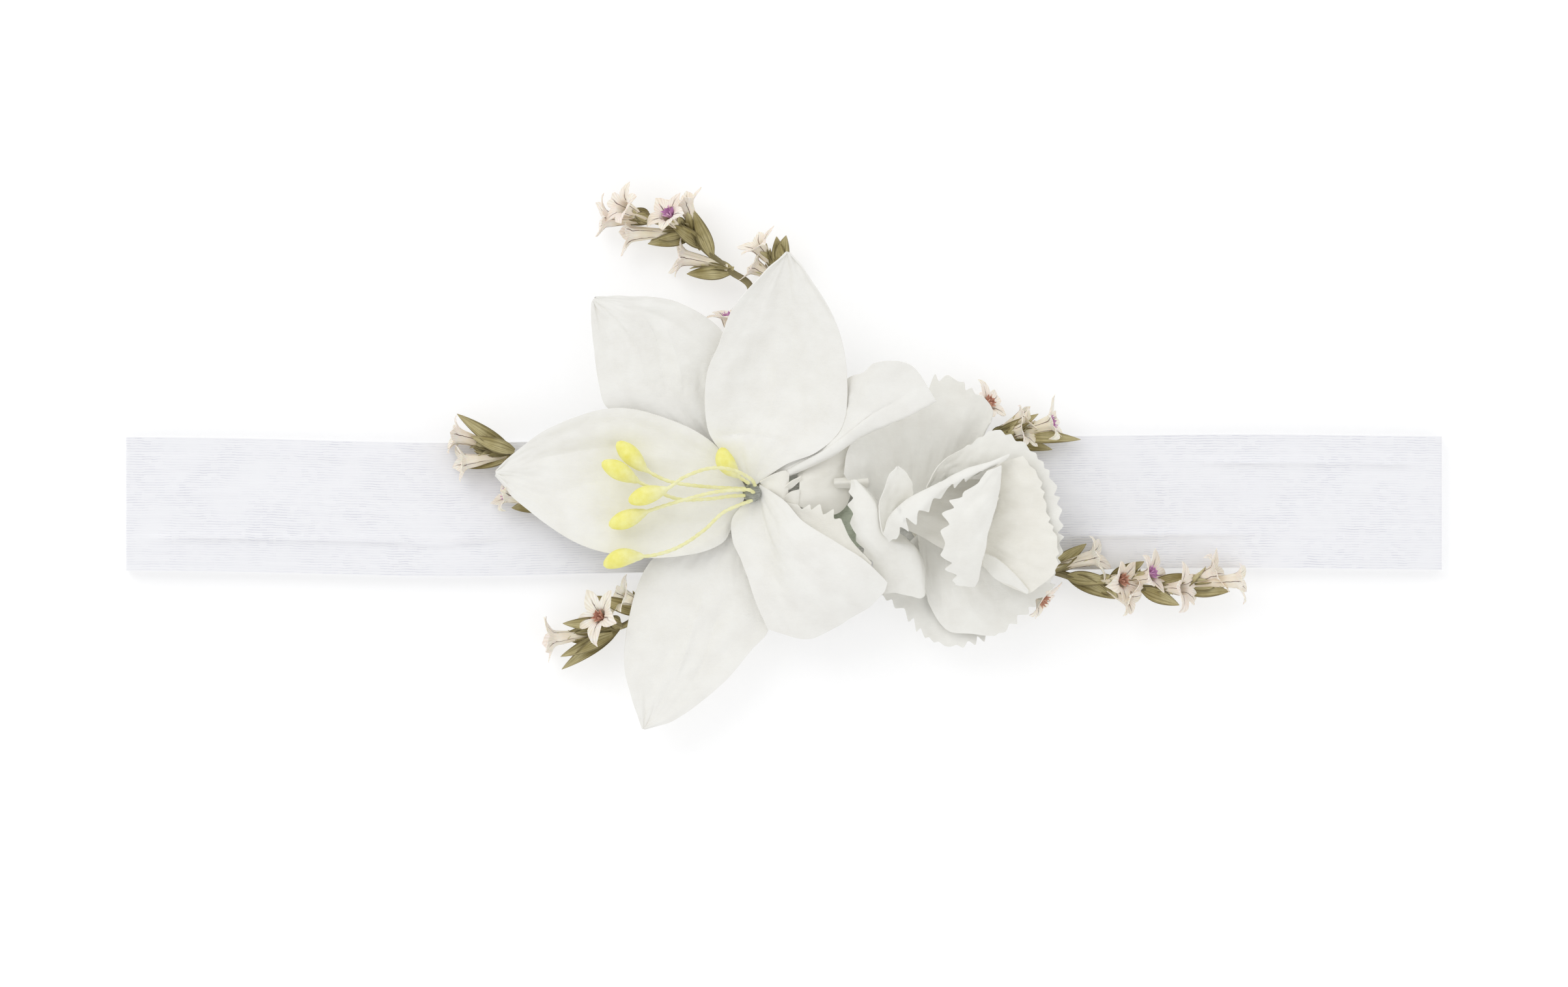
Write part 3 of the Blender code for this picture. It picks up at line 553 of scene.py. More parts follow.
# %% Bract and heart
def bract_material():
    """Dried leaf: khaki with dark streaks along it, a dark rim and a pale tip."""
    made, tree, shader = start_material("dried bract")
    place = add_node(tree, "ShaderNodeTexCoord")
    flow = add_node(tree, "ShaderNodeSeparateXYZ", Vector=place.outputs["UV"])
    tone = use_group(tree, MOTTLE, Vector=place.outputs["Object"], Scale=260.0)
    khaki = mix_colours(tree, tone.outputs["Share"], rgb(166, 152, 98), rgb(214, 204, 158))
    streaks = add_node(tree, "ShaderNodeMapping", Vector=place.outputs["UV"])
    streaks.inputs["Scale"].default_value = (9.0, 0.5, 1)
    lines = add_node(tree, "ShaderNodeTexNoise", Vector=streaks.outputs[0], Scale=1.6, Detail=4.0)
    dark = math_node(tree, "MULTIPLY_ADD", lines.outputs["Fac"], -5.5, 2.9, clamp=True)
    edge = math_node(tree, "ABSOLUTE", math_node(tree, "SUBTRACT", flow.outputs["X"], 0.5))
    edge = math_node(tree, "MULTIPLY_ADD", edge, 12.0, -5.0, clamp=True)
    tip = math_node(tree, "MULTIPLY_ADD", flow.outputs["Y"], 4.0, -3.0, clamp=True)
    marked = mix_colours(tree, math_node(tree, "MULTIPLY", dark, 0.8), khaki, rgb(112, 98, 56))
    outlined = mix_colours(tree, math_node(tree, "MULTIPLY", edge, 0.6), marked, rgb(92, 80, 48))
    tipped = mix_colours(tree, math_node(tree, "MULTIPLY", tip, 0.6), outlined, rgb(214, 202, 160))
    tree.links.new(tipped, shader.inputs["Base Color"])
    shader.inputs["Roughness"].default_value = 0.62
    finish_bump(tree, shader, lines.outputs["Fac"], 0.6, 0.0002)
    return made


def heart_material(name, light, dark):
    """The withered petals in a flower's mouth."""
    made, tree, shader = start_material(name)
    place = add_node(tree, "ShaderNodeTexCoord")
    tone = use_group(tree, MOTTLE, Vector=place.outputs["Object"], Scale=900.0)
    tree.links.new(mix_colours(tree, tone.outputs["Share"], dark, light), shader.inputs["Base Color"])
    shader.inputs["Roughness"].default_value = 0.75
    finish_bump(tree, shader, tone.outputs["Share"], 0.6, 0.0002)
    return made


CALYX = calyx_material()
BRACT = bract_material()
BROWN_HEART = heart_material("brown heart", rgb(232, 186, 160), rgb(176, 112, 92))
PINK_HEART = heart_material("pink heart", rgb(236, 190, 222), rgb(184, 108, 176))
print("materials:", [finish.name for finish in bpy.data.materials])

# %% [markdown]
# ## Curves and sheets
# Paper, leaves and ribbon are all thin sheets. A grid laid through a few given curves keeps each
# edge exactly where it was put and is smooth between them. Sculpting by eye would lose the edges, and
# cloth simulation would lose the creases that fingers pressed into the paper.

# %% Smooth curves
def curve_point(points, share):
    """The point at a share (0 to 1) of the length of a smooth curve through points."""
    lengths = [(b - a).length for a, b in zip(points, points[1:])]
    wanted = share * sum(lengths)
    index = 0
    while index < len(lengths) - 1 and wanted > lengths[index]:
        wanted -= lengths[index]
        index += 1
    start = points[index]
    end = points[index + 1]
    span = max(lengths[index], 0.000000001)
    before = points[index - 1] if index > 0 else start - (end - start)
    after = points[index + 2] if index + 2 < len(points) else end + (end - start)
    slope_in = (end - before) * (span / max((start - before).length + span, span))
    slope_out = (after - start) * (span / max((after - end).length + span, span))
    t = wanted / span
    return (
        (2 * t**3 - 3 * t**2 + 1) * start
        + (t**3 - 2 * t**2 + t) * slope_in
        + (3 * t**2 - 2 * t**3) * end
        + (t**3 - t**2) * slope_out
    )


def path_points(points, count):
    """Points at even steps of a smooth curve through a few."""
    return [curve_point(points, step / count) for step in range(count + 1)]


def path_length(points):
    return sum((b - a).length for a, b in zip(points, points[1:]))


def in_metres(points, foot):
    """Vectors in metres from points in millimetres measured from foot."""
    return [foot + Vector(point) * MM for point in points]

# %% New pieces
def new_piece(name, bm, finishes, nodes=(), body="crown"):
    """A named piece from a bmesh in place. It rides on a body, if one is given, and stands for its nodes."""
    mesh = bpy.data.meshes.new(name)
    bm.to_mesh(mesh)
    bm.free()
    for finish in finishes:
        mesh.materials.append(finish)
    mesh.shade_smooth()
    made = bpy.data.objects.new(name, mesh)
    bpy.context.scene.collection.objects.link(made)
    if body:
        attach(made, body)
    if nodes:
        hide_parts(*nodes)
    return made


CRISP_ANGLE = math.radians(60)


def thicken(piece, thickness):
    """Gives a sheet its thickness on both faces alike, and keeps its rim crisp."""
    wall = piece.modifiers.new("thickness", "SOLIDIFY")
    wall.thickness = thickness
    wall.offset = 0
    depsgraph = bpy.context.evaluated_depsgraph_get()
    solid = bpy.data.meshes.new_from_object(piece.evaluated_get(depsgraph))
    piece.modifiers.clear()
    piece.data = solid
    solid.shade_smooth()
    solid.set_sharp_from_angle(angle=CRISP_ANGLE)

# %% [markdown]
# ### Pinked edges
# Pinking shears cut small uneven teeth. A saw-tooth wave with a little noise in its pitch and depth
# gives them, and it moves the sheet's own edge, so that the teeth are real and bend with the paper.
# Cutting them out with a Boolean would leave long thin triangles, which shade badly.

# %% Edges of a sheet
def straight_edges(along, across):
    """Leaves every place on a sheet where it is: both are shares, along and across it."""
    return along, across


def tooth_notch(place, pitch, seed):
    """How deep the pinking is at a place along an edge: 0 at a tooth's tip and about 1 in a notch."""
    tooth = place / pitch + 0.45 * noise.noise(Vector((place / pitch * 0.7, seed, 0.5)))
    uneven = 1 + 1.1 * noise.noise(Vector((tooth * 0.5, seed + 7.3, 0)))
    zigzag = abs(tooth % 1 - 0.5) * 2
    return (0.55 * zigzag + 0.45 * (0.5 - 0.5 * math.cos(math.pi * zigzag))) * max(0.25, uneven)


def pinked(side, pitch, depth, length, width, start, end, seed):
    """A function that cuts teeth into one side of a sheet: its end, its first rail or its last rail.

    Pitch, depth, the side's length and the sheet's width behind it are in millimetres, and start and
    end are shares of the side.
    """

    def cut(along, across):
        place = across if side == "end" else along
        taper = min(1, max(0, (place - start) * 12), max(0, (end - place) * 12))
        bite = depth / width * tooth_notch(place * length, pitch, seed) * taper
        if side == "end":
            return along * (1 - bite), across
        if side == "first":
            return along, across + bite * (1 - across)
        return along, across * (1 - bite)

    return cut

# %% [markdown]
# ### Wrinkles and creases
# Handled paper has broad waves, softer folds that run along the petal, and fine wrinkles. Three sizes
# of noise give all of them. Fingers also leave a few sharp creases, which noise can't place, so each
# of those is a short ridge or groove along a line, and it fades at both ends.

# %% Heights of wrinkles and creases
BROAD_WAVE = 0.34
SOFT_FOLD = 0.5
FINE_WRINKLE = 0.14


def wrinkle(along_mm, across_mm, seed, strength):
    """The height of the wrinkles of handled paper, in millimetres."""
    broad = noise.noise(Vector((along_mm / 16, across_mm / 9, seed)))
    folds = noise.noise(Vector((along_mm / 11 + across_mm / 14, across_mm / 3.4, seed + 5)))
    fine = noise.noise(Vector((along_mm / 2.6, across_mm / 1.5, seed + 11)))
    return strength * (BROAD_WAVE * broad + SOFT_FOLD * folds + FINE_WRINKLE * fine)


def crease_height(along, across, creases):
    """The height of a sheet's creases, in millimetres. Each is (start, end, height, width).

    Start and end are places as shares along and across the sheet, and the width is a share as well.
    """
    total = 0.0
    for start, end, height, width in creases:
        run = Vector(end) - Vector(start)
        off = Vector((along, across)) - Vector(start)
        place = off.dot(run) / run.length_squared
        side = (off.x * run.y - off.y * run.x) / run.length
        fade = min(1, max(0, place * 5)) * min(1, max(0, (1 - place) * 5))
        total += height * fade * math.exp(-abs(side) / width)
    return total

# %% A sheet of paper
PAPER_THICKNESS = 0.3 * MM


def paper_sheet(name, rails, foot, finish, grid, seed, cut=straight_edges,
                strength=1.0, creases=(), nodes=()):
    """A sheet through rails, the curves that run from its base to its outer edge."""
    curves = [in_metres(rail, foot) for rail in rails]
    long_side = sum(path_length(curve) for curve in curves) / len(curves) / MM
    wide_side = path_length([curve_point(curve, 0.6) for curve in curves]) / MM
    bm = bmesh.new()
    bmesh.ops.create_grid(bm, x_segments=grid[0], y_segments=grid[1], size=0.5)
    flow = bm.loops.layers.uv.new("flow")
    shares = {vert: cut(vert.co.x + 0.5, vert.co.y + 0.5) for vert in bm.verts}
    for vert, (along, across) in shares.items():
        rib = [curve_point(curve, along) for curve in curves]
        vert.co = curve_point(rib, across)
    for face in bm.faces:
        for loop in face.loops:
            along, across = shares[loop.vert]
            loop[flow].uv = (along * long_side, (across - 0.5) * wide_side)
    bmesh.ops.recalc_face_normals(bm, faces=bm.faces)
    bm.normal_update()
    moves = {}
    for vert, (along, across) in shares.items():
        height = wrinkle(along * long_side, across * wide_side, seed, strength) * min(1, 4 * along)
        height += crease_height(along, across, creases)
        moves[vert] = vert.normal * (height * MM)
    for vert, move in moves.items():
        vert.co += move
    if sum(face.normal.z for face in bm.faces) < 0:
        bmesh.ops.reverse_faces(bm, faces=bm.faces)
    thicken(new_piece(name, bm, [finish], nodes=nodes), PAPER_THICKNESS)

# %% [markdown]
# ## The lily
# Each petal is cut from paper, cupped over a ball tool and glued round the throat in two rings of
# three. Its rails run from the throat to the tip, in millimetres from the foot of the throat.

# %% Lily petals
LILY_PETALS = {
    "lily_petal_left": [
        [(-1.2, -0.6, 2.8), (-3.2, -5, 2.6), (-5.4, -9.2, 3.2), (-11.5, -11.5, 4.6), (-22, -12, 4.8),
         (-32.8, -9.3, 4.4), (-44.1, -1.3, 3.8), (-47.9, 3.3, 3.4)],
        [(-1.4, 0.2, 2.6), (-14, 0.6, 3.0), (-29, 2.2, 3.2), (-42, 3.5, 3.4), (-47.9, 3.7, 3.3)],
        [(-1.2, 1.2, 3.0), (-6.9, 9, 4.4), (-14.5, 13.4, 4.8), (-25.5, 15.9, 5),
         (-37.4, 12.4, 4.8), (-44.4, 7.5, 4), (-47.9, 4.1, 3.4)],
    ],
    "lily_petal_upper_left": [
        [(-2.4, 2.6, 1.9), (-14, 8, 2.2), (-27, 15.9, 3.5), (-28.6, 20.3, 4),
         (-29.5, 27, 5), (-30, 32.5, 6), (-29.8, 35.6, 6.5)],
        [(-2.0, 3.2, 1.8), (-11, 15, 2.6), (-19, 26, 4.5), (-29.5, 36.3, 6.5)],
        [(-1.3, 3.6, 1.9), (-5, 14, 3), (-5.5, 23, 4), (-5.1, 29.5, 5.2),
         (-13.9, 35.6, 6.5), (-24.3, 36.8, 7), (-29.2, 36.5, 6.6)],
    ],
    "lily_petal_top": [
        [(-0.6, 1.4, 3.4), (-5.5, 7.5, 4.6), (-8, 11.2, 6), (-8.8, 17.3, 7.2), (-8.3, 22.8, 8),
         (-6.5, 27, 9), (-3.6, 34.3, 11), (2.5, 41.4, 13), (6.4, 44.7, 14)],
        [(0.0, 1.5, 3.2), (2.4, 10, 5.2), (3.6, 14, 4.4), (4.5, 22, 5.5), (5.5, 34, 9.5),
         (6.8, 44.8, 14)],
        [(0.6, 1.4, 3.4), (6.5, 5.4, 5.8), (12.4, 7.8, 7.8), (17.0, 13, 9.8), (17.6, 22.8, 10.8),
         (15.3, 32.5, 12), (9.8, 41.7, 13.5), (7.1, 44.7, 14)],
    ],
    "lily_petal_upper_right": [
        [(1.0, 2.2, 2.4), (8, 9.5, 4.2), (14.5, 17, 6.6), (18.2, 21.5, 8.6), (20.7, 22.2, 10.5)],
        [(1.4, 1.8, 2.8), (7.2, 5.4, 5.0), (13.0, 8.2, 7.2), (18.6, 14.4, 10.4), (23.3, 24.3, 16)],
        [(1.8, 1.5, 2.9), (7.6, 4.8, 5.6), (14.5, 8.4, 8.6), (21, 13.6, 12.6), (29.4, 23.7, 18)],
        [(2.0, 1.3, 2.9), (8.4, 4.4, 5.8), (15.6, 7.6, 8.6), (21.6, 11.4, 11.6), (28.5, 14.4, 15.2),
         (34.2, 17.4, 17)],
        [(2.0, 1.2, 2.4), (8.6, 4.2, 4.8), (15.6, 7.2, 7.4), (21.5, 11.0, 10.2), (28.4, 14.2, 13.8),
         (33.8, 17.5, 16)],
    ],
    "lily_petal_lower_right": [
        [(1.5, 1.6, 3.6), (6.2, -1.6, 6.6), (9.5, -5.3, 8.8), (15.9, -9.3, 11.4), (21.1, -12.6, 12.4),
         (25.3, -16.6, 11.4)],
        [(1.4, 1.0, 3.8), (5.9, -3.0, 7.2), (9.2, -7.2, 9.4), (15, -11.6, 11.8), (20, -15, 12.4),
         (24.6, -18.6, 10.8)],
        [(1.4, 0.4, 3.8), (5.2, -5, 7.2), (8.5, -10.5, 9.4), (12.5, -15.5, 10.2), (17, -20, 9.4),
         (20, -22.4, 7.6)],
        [(1.3, 0.6, 3.6), (3.6, -6.5, 6.0), (4.9, -10.2, 7.2), (6.5, -16, 7.6), (9.5, -22, 6.4),
         (12, -27, 4.8)],
        [(0.9, 0.2, 3.0), (2.4, -6.8, 4.2), (3.4, -12, 4.8), (4.4, -18, 5.2), (7.2, -23, 5.0),
         (8.4, -27.1, 4.4)],
        [(0.2, -0.6, 2.8), (-3.6, -4.6, 4.0), (-3.6, -8.9, 4.2), (-2.1, -12.3, 4.4), (-0.8, -15.7, 4.6),
         (0.7, -20.2, 4.6), (3, -25.4, 4.2)],
    ],
    "lily_petal_lower_left": [
        [(-2.0, -2.4, 1.4), (-12, -8, 1.4), (-18.8, -12.6, 1.4), (-22.2, -19.9, 1.6),
         (-23.9, -31.5, 2.6), (-22.5, -38.2, 3.4), (-20.4, -44.1, 4)],
        [(-1.2, -3.1, 1.3), (-7, -16, 1.4), (-13, -30, 2.2), (-20.2, -44.1, 4)],
        [(-0.2, -3.3, 1.3), (0.8, -10, 1.3), (1.6, -17, 1.6), (3.1, -25.4, 2.2),
         (0.1, -29.1, 2.8), (-5.4, -35.5, 3.4), (-14.5, -42.5, 3.8), (-20.0, -44.1, 4)],
    ],
}

# %% [markdown]
# ### Folds in the throat
# The two right-hand petals are bunched where they meet the carnation, and their crumpled feet fill
# the space between the flowers. Each fold is a small sheet of its own, made as the petals are. One
# petal bent through all of them would need a far finer grid than its flat part does.

# %% Folds
LILY_FOLDS = {
    "lily_fold_back": [
        [(5.6, -1.6, 5.2), (9.4, -2.2, 6.2), (12.8, -2.1, 7.0), (15.8, -3.4, 7.6), (18.4, -8.6, 9.0),
         (22.4, -13.0, 10.4)],
        [(5.2, -2.6, 4.6), (9.5, -6.6, 6.8), (14, -9.8, 8.2), (18.4, -12.8, 9.4), (22, -15, 9.8)],
    ],
    "lily_fold_valley": [
        [(8.6, 3.4, 3.8), (11.4, 6.0, 4.6), (14.1, 7.6, 5.6), (17.2, 9.2, 6.2), (19.5, 10.6, 6.6)],
        [(8.9, 2.0, 5.0), (12.5, 2.6, 5.0), (15.5, 3.8, 5.0), (18.4, 5.6, 4.6)],
        [(8.6, -2.4, 4.8), (12.4, -3.8, 4.0), (15.6, -3.9, 3.4), (17.6, -2.2, 2.9), (18.4, 0.8, 2.9)],
    ],
    "lily_fold_wall": [
        [(1.5, 2.1, 4.2), (3.5, 3.3, 5.0), (6.2, 4.2, 5.6), (7.0, 3.6, 5.4)],
        [(1.8, 1.6, 3.6), (3.6, 0.4, 4.0), (5.6, -1.2, 4.6), (6.6, -1.4, 4.4)],
    ],
    "lily_fold_upper": [
        [(5.4, 0.4, 5.0), (7.2, 2.0, 5.8), (9.2, 3.0, 5.8)],
        [(5.6, -0.1, 4.4), (7.4, 0.9, 5.0), (8.9, 2.2, 5.2)],
    ],
    "lily_fold_lower": [
        [(5.4, -1.4, 4.8), (7.2, 0.2, 5.8), (8.9, 0.7, 5.6)],
        [(6.0, -2.0, 4.2), (7.8, -2.2, 5.0), (8.6, -2.3, 4.8)],
    ],
    "lily_fold_roll": [
        [(15.4, 2.6, 5.2), (17.6, 2.9, 5.0), (21.5, 3.0, 4.4)],
        [(15.3, 1.8, 6.0), (17.9, 1.9, 5.8), (21.8, 2.0, 5.0)],
        [(15.5, 1.1, 5.0), (17.9, 0.9, 4.8), (21.5, 1.0, 4.2)],
    ],
}

# %% Creases of the lily petals
LILY_CREASES = {
    "lily_petal_upper_left": [
        ((0.45, 0.35), (0.8, 0.75), 0.5, 0.025),
        ((0.42, 0.45), (0.72, 0.8), -0.4, 0.02),
        ((0.5, 0.3), (0.9, 0.55), -0.35, 0.03),
    ],
    "lily_petal_top": [((0.23, 0.02), (0.2, 0.8), 0.7, 0.02), ((0.25, 0.5), (0.7, 0.45), -0.25, 0.03)],
    "lily_petal_lower_left": [
        ((0.35, 0.45), (0.8, 0.62), 0.4, 0.02),
        ((0.4, 0.6), (0.75, 0.78), -0.35, 0.025),
    ],
    "lily_petal_left": [((0.2, 0.3), (0.7, 0.35), 0.25, 0.03), ((0.3, 0.75), (0.9, 0.7), 0.25, 0.03)],
    "lily_petal_upper_right": [((0.1, 0.62), (0.95, 0.78), 0.3, 0.02)],
}

# %% Make the lily's petals and folds
PETAL_GRID = (90, 80)
FOLD_GRID = (90, 30)
SEED_STEP = 3.7
RAGGED_EDGE = pinked("first", pitch=2.6, depth=1.3, length=26, width=5, start=0.1, end=0.6, seed=3)

for number, (name, rails) in enumerate(LILY_PETALS.items()):
    paper_sheet(
        name, rails, LILY_FOOT, LILY_PAPER, grid=PETAL_GRID,
        seed=number * SEED_STEP, creases=LILY_CREASES.get(name, ()), nodes=[name],
    )
# The lily's folds get the paper with painted bounce light and painted shade.
for number, (name, rails) in enumerate(LILY_FOLDS.items()):
    paper_sheet(
        name, rails, LILY_FOOT, BOUNCE_PAINTED_PAPER, grid=FOLD_GRID,
        seed=20 + number * SEED_STEP, strength=0.8,
        cut=RAGGED_EDGE if name == "lily_fold_back" else straight_edges,
    )
print("lily petals:", len(LILY_PETALS), "and folds:", len(LILY_FOLDS))

# %% [markdown]
# ### Stem tape
# The wire stems are wrapped in green paper tape, and a loose end of it shows in the gap between the
# two flowers. It is a sheet like the petals, but more wrinkled.

# %% A loose end of tape
TAPE_TAIL = [
    [(12.5, -9.5, 0.6), (13.5, -5.5, 0.9), (14.2, -1.5, 0.6)],
    [(16.5, -10, 1.3), (17, -6, 1.0), (17, -1.8, 1.6)],
    [(20.5, -10, 0.7), (20.6, -6, 1.5), (20.2, -2, 0.9)],
]
paper_sheet(
    "stem_tape_tail", TAPE_TAIL, LILY_FOOT, STEM_TAPE, grid=(60, 60), seed=91, strength=2.0
)
print("tape tail:", len(TAPE_TAIL), "rails")

# %% [markdown]
# ### Stamens and throat
# A stamen is two thin strands twisted together, whose end was dipped in wax until it swelled into a
# drop. A tube whose section is pinched at two sides and turns along the thread gives the twist; a
# plain round tube would look like wire. All six are bound into the throat with grey thread.

# %% Tubes
def section_matrices(points, radii):
    """One matrix for each section of a tube: turned along the path without twist, and scaled."""
    matrices = []
    turn = Quaternion()
    heading = Vector((0, 0, 1))
    for index, point in enumerate(points):
        before = points[max(index - 1, 0)]
        after = points[min(index + 1, len(points) - 1)]
        new_heading = (after - before).normalized()
        turn = heading.rotation_difference(new_heading) @ turn
        heading = new_heading
        matrices.append(Matrix.LocRotScale(point, turn, Vector.Fill(3, radii[index])))
    return matrices


def tube(points, radii, sides, shape, lap=1.0):
    """A closed tube along points. shape(share, angle) scales each vertex.

    Its UV map holds the way round, times lap, and the share along it.
    """
    bm = bmesh.new()
    matrices = section_matrices(points, radii)
    bmesh.ops.create_grid(bm, x_segments=len(points) - 1, y_segments=sides, size=0.5)
    flow = bm.loops.layers.uv.new("flow")
    shares = {vert: (vert.co.x + 0.5, vert.co.y + 0.5) for vert in bm.verts}
    for vert, (along, around) in shares.items():
        index = round(along * (len(points) - 1))
        angle = 2 * math.pi * around
        reach = shape(along, angle)
        vert.co = matrices[index] @ Vector((math.cos(angle) * reach, math.sin(angle) * reach, 0))
    for face in bm.faces:
        for loop in face.loops:
            along, around = shares[loop.vert]
            loop[flow].uv = (around * lap, along)
    bmesh.ops.remove_doubles(bm, verts=bm.verts, dist=0.000001)
    rims = [edge for edge in bm.edges if edge.is_boundary]
    bmesh.ops.holes_fill(bm, edges=rims, sides=0)
    bmesh.ops.recalc_face_normals(bm, faces=bm.faces)
    return bm

# %% Routes of the stamens
STAMENS = {
    "stamen_1": [(-1.2, 0.8, 5.6), (-4.2, 0.9, 6.6), (-10.9, 1.4, 7.2), (-15.8, 2.3, 7),
                 (-20, 4.5, 6.9), (-22.8, 7.2, 6.9), (-25.2, 9.5, 6.9)],
    "stamen_2": [(-1.3, -0.5, 5.6), (-4, -0.6, 6.6), (-7.8, -1.1, 7.2), (-13.9, -1.1, 7.4),
                 (-20, 1.5, 8.2), (-25.5, 4.5, 9.9), (-28, 5.7, 10.2)],
    "stamen_3": [(0.6, 1.4, 5.6), (-0.2, 2.6, 8), (-3.6, 4.3, 10.5), (-7.8, 4.6, 11.6),
                 (-12.7, 2.9, 11.8), (-15.8, 0.8, 11.2), (-20, -0.5, 10.6), (-23, -1.6, 10)],
    "stamen_4": [(0.3, 0.1, 5.6), (-0.8, 0.6, 7.6), (-6.6, 0.2, 9.6), (-12.7, -1.3, 9.4),
                 (-18.8, -3.2, 8.6), (-23.7, -5, 7.8), (-26.7, -6.1, 7.2)],
    "stamen_5": [(0.0, -1.4, 5.6), (-2.2, -2.2, 7), (-5.4, -3.7, 7.8), (-9.1, -7.1, 8),
                 (-13.9, -10.2, 7.9), (-18.8, -11.7, 7.6), (-24, -12, 7.4), (-27.7, -13.6, 7.2)],
    "stamen_6": [(-0.5, 1.75, 5.6), (-2.6, 3.2, 6.5), (-4.9, 5.7, 7.0), (-5.7, 8.5, 7.3)],
}

# %% Make the stamens
THREAD_RADIUS = 0.36 * MM
HEAD_RADIUS = 1.75 * MM
HEAD_LENGTH = 8.0 * MM
MOST_OF_STAMEN = 0.75
TWIST_PITCH = 2.6 * MM
STAMEN_STEP = 0.28 * MM
TIP_SHARE = 0.012


def stamen(name, route):
    """A twisted thread along a route, with its last few millimetres swollen into a drop of wax."""
    points = in_metres(route, LILY_FOOT)
    length = path_length(points)
    head = min(HEAD_LENGTH / length, MOST_OF_STAMEN)
    steps = max(40, round(length / STAMEN_STEP))
    path = path_points(points, steps)

    def into_head(along):
        return max(0.0, (along - (1 - head)) / head)

    radii = []
    for step in range(steps + 1):
        share = into_head(step / steps)
        swell = max(0.0, math.sin(math.pi * min(share**1.25, 1))) ** 0.75
        tip = max(0.0, 1 - step / steps) / TIP_SHARE
        thread = THREAD_RADIUS * min(1, tip + 0.15)
        radii.append(thread + (HEAD_RADIUS - THREAD_RADIUS) * swell)

    def strands(along, angle):
        bare = max(0.0, 1 - into_head(along) * 4)
        turned = angle - 2 * math.pi * along * length / TWIST_PITCH
        return 1 - 0.3 * bare * (1 - abs(math.cos(turned)))

    bm = tube(path, radii, 20, strands)
    flow = bm.loops.layers.uv["flow"]
    for face in bm.faces:
        for loop in face.loops:
            loop[flow].uv = (loop[flow].uv.x, into_head(loop[flow].uv.y))
    new_piece(name, bm, [STAMEN_WAX], nodes=[name])


for name, route in STAMENS.items():
    stamen(name, route)
print("stamens:", len(STAMENS))

# %% Throat and binding
BINDING_SHARE = 0.72
STEPS_PER_TURN = 8


def wound_cone(name, turns, bulge=0.0):
    """A cone wound with thread: each turn of thread is a rounded ridge round it."""
    low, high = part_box(name)
    foot = flower_foot(name)
    height = high.z - low.z
    radius = BINDING_SHARE * (high.x - low.x) / 2
    steps = turns * STEPS_PER_TURN
    path = [foot + Vector((0, 0, height * step / steps)) for step in range(steps + 1)]
    radii = [radius * (0.9 + bulge * math.sin(math.pi * step / steps)) for step in range(steps + 1)]

    def ridges(along, angle):
        phase = along * turns * 2 * math.pi + angle
        rough = noise.noise(Vector((math.cos(angle) * 3, math.sin(angle) * 3, along * turns)))
        return 1 + 0.05 * abs(math.sin(phase / 2)) + 0.03 * rough

    bm = tube(path, radii, 40, ridges)
    new_piece(name, bm, [BINDING], nodes=[name])
    print(name, "has", turns, "turns of thread")


wound_cone("lily_throat", turns=7)
wound_cone("stamen_binding", turns=3, bulge=0.1)

# %% [markdown]
# ## The carnation
# The carnation is one long strip of paper with a pinked edge, gathered and crumpled round a core. What
# shows of it are nine lobes that overlap, so each is its own sheet. One sheet crumpled by simulation
# would take any shape but this one. Rails are in millimetres from the foot of the core.

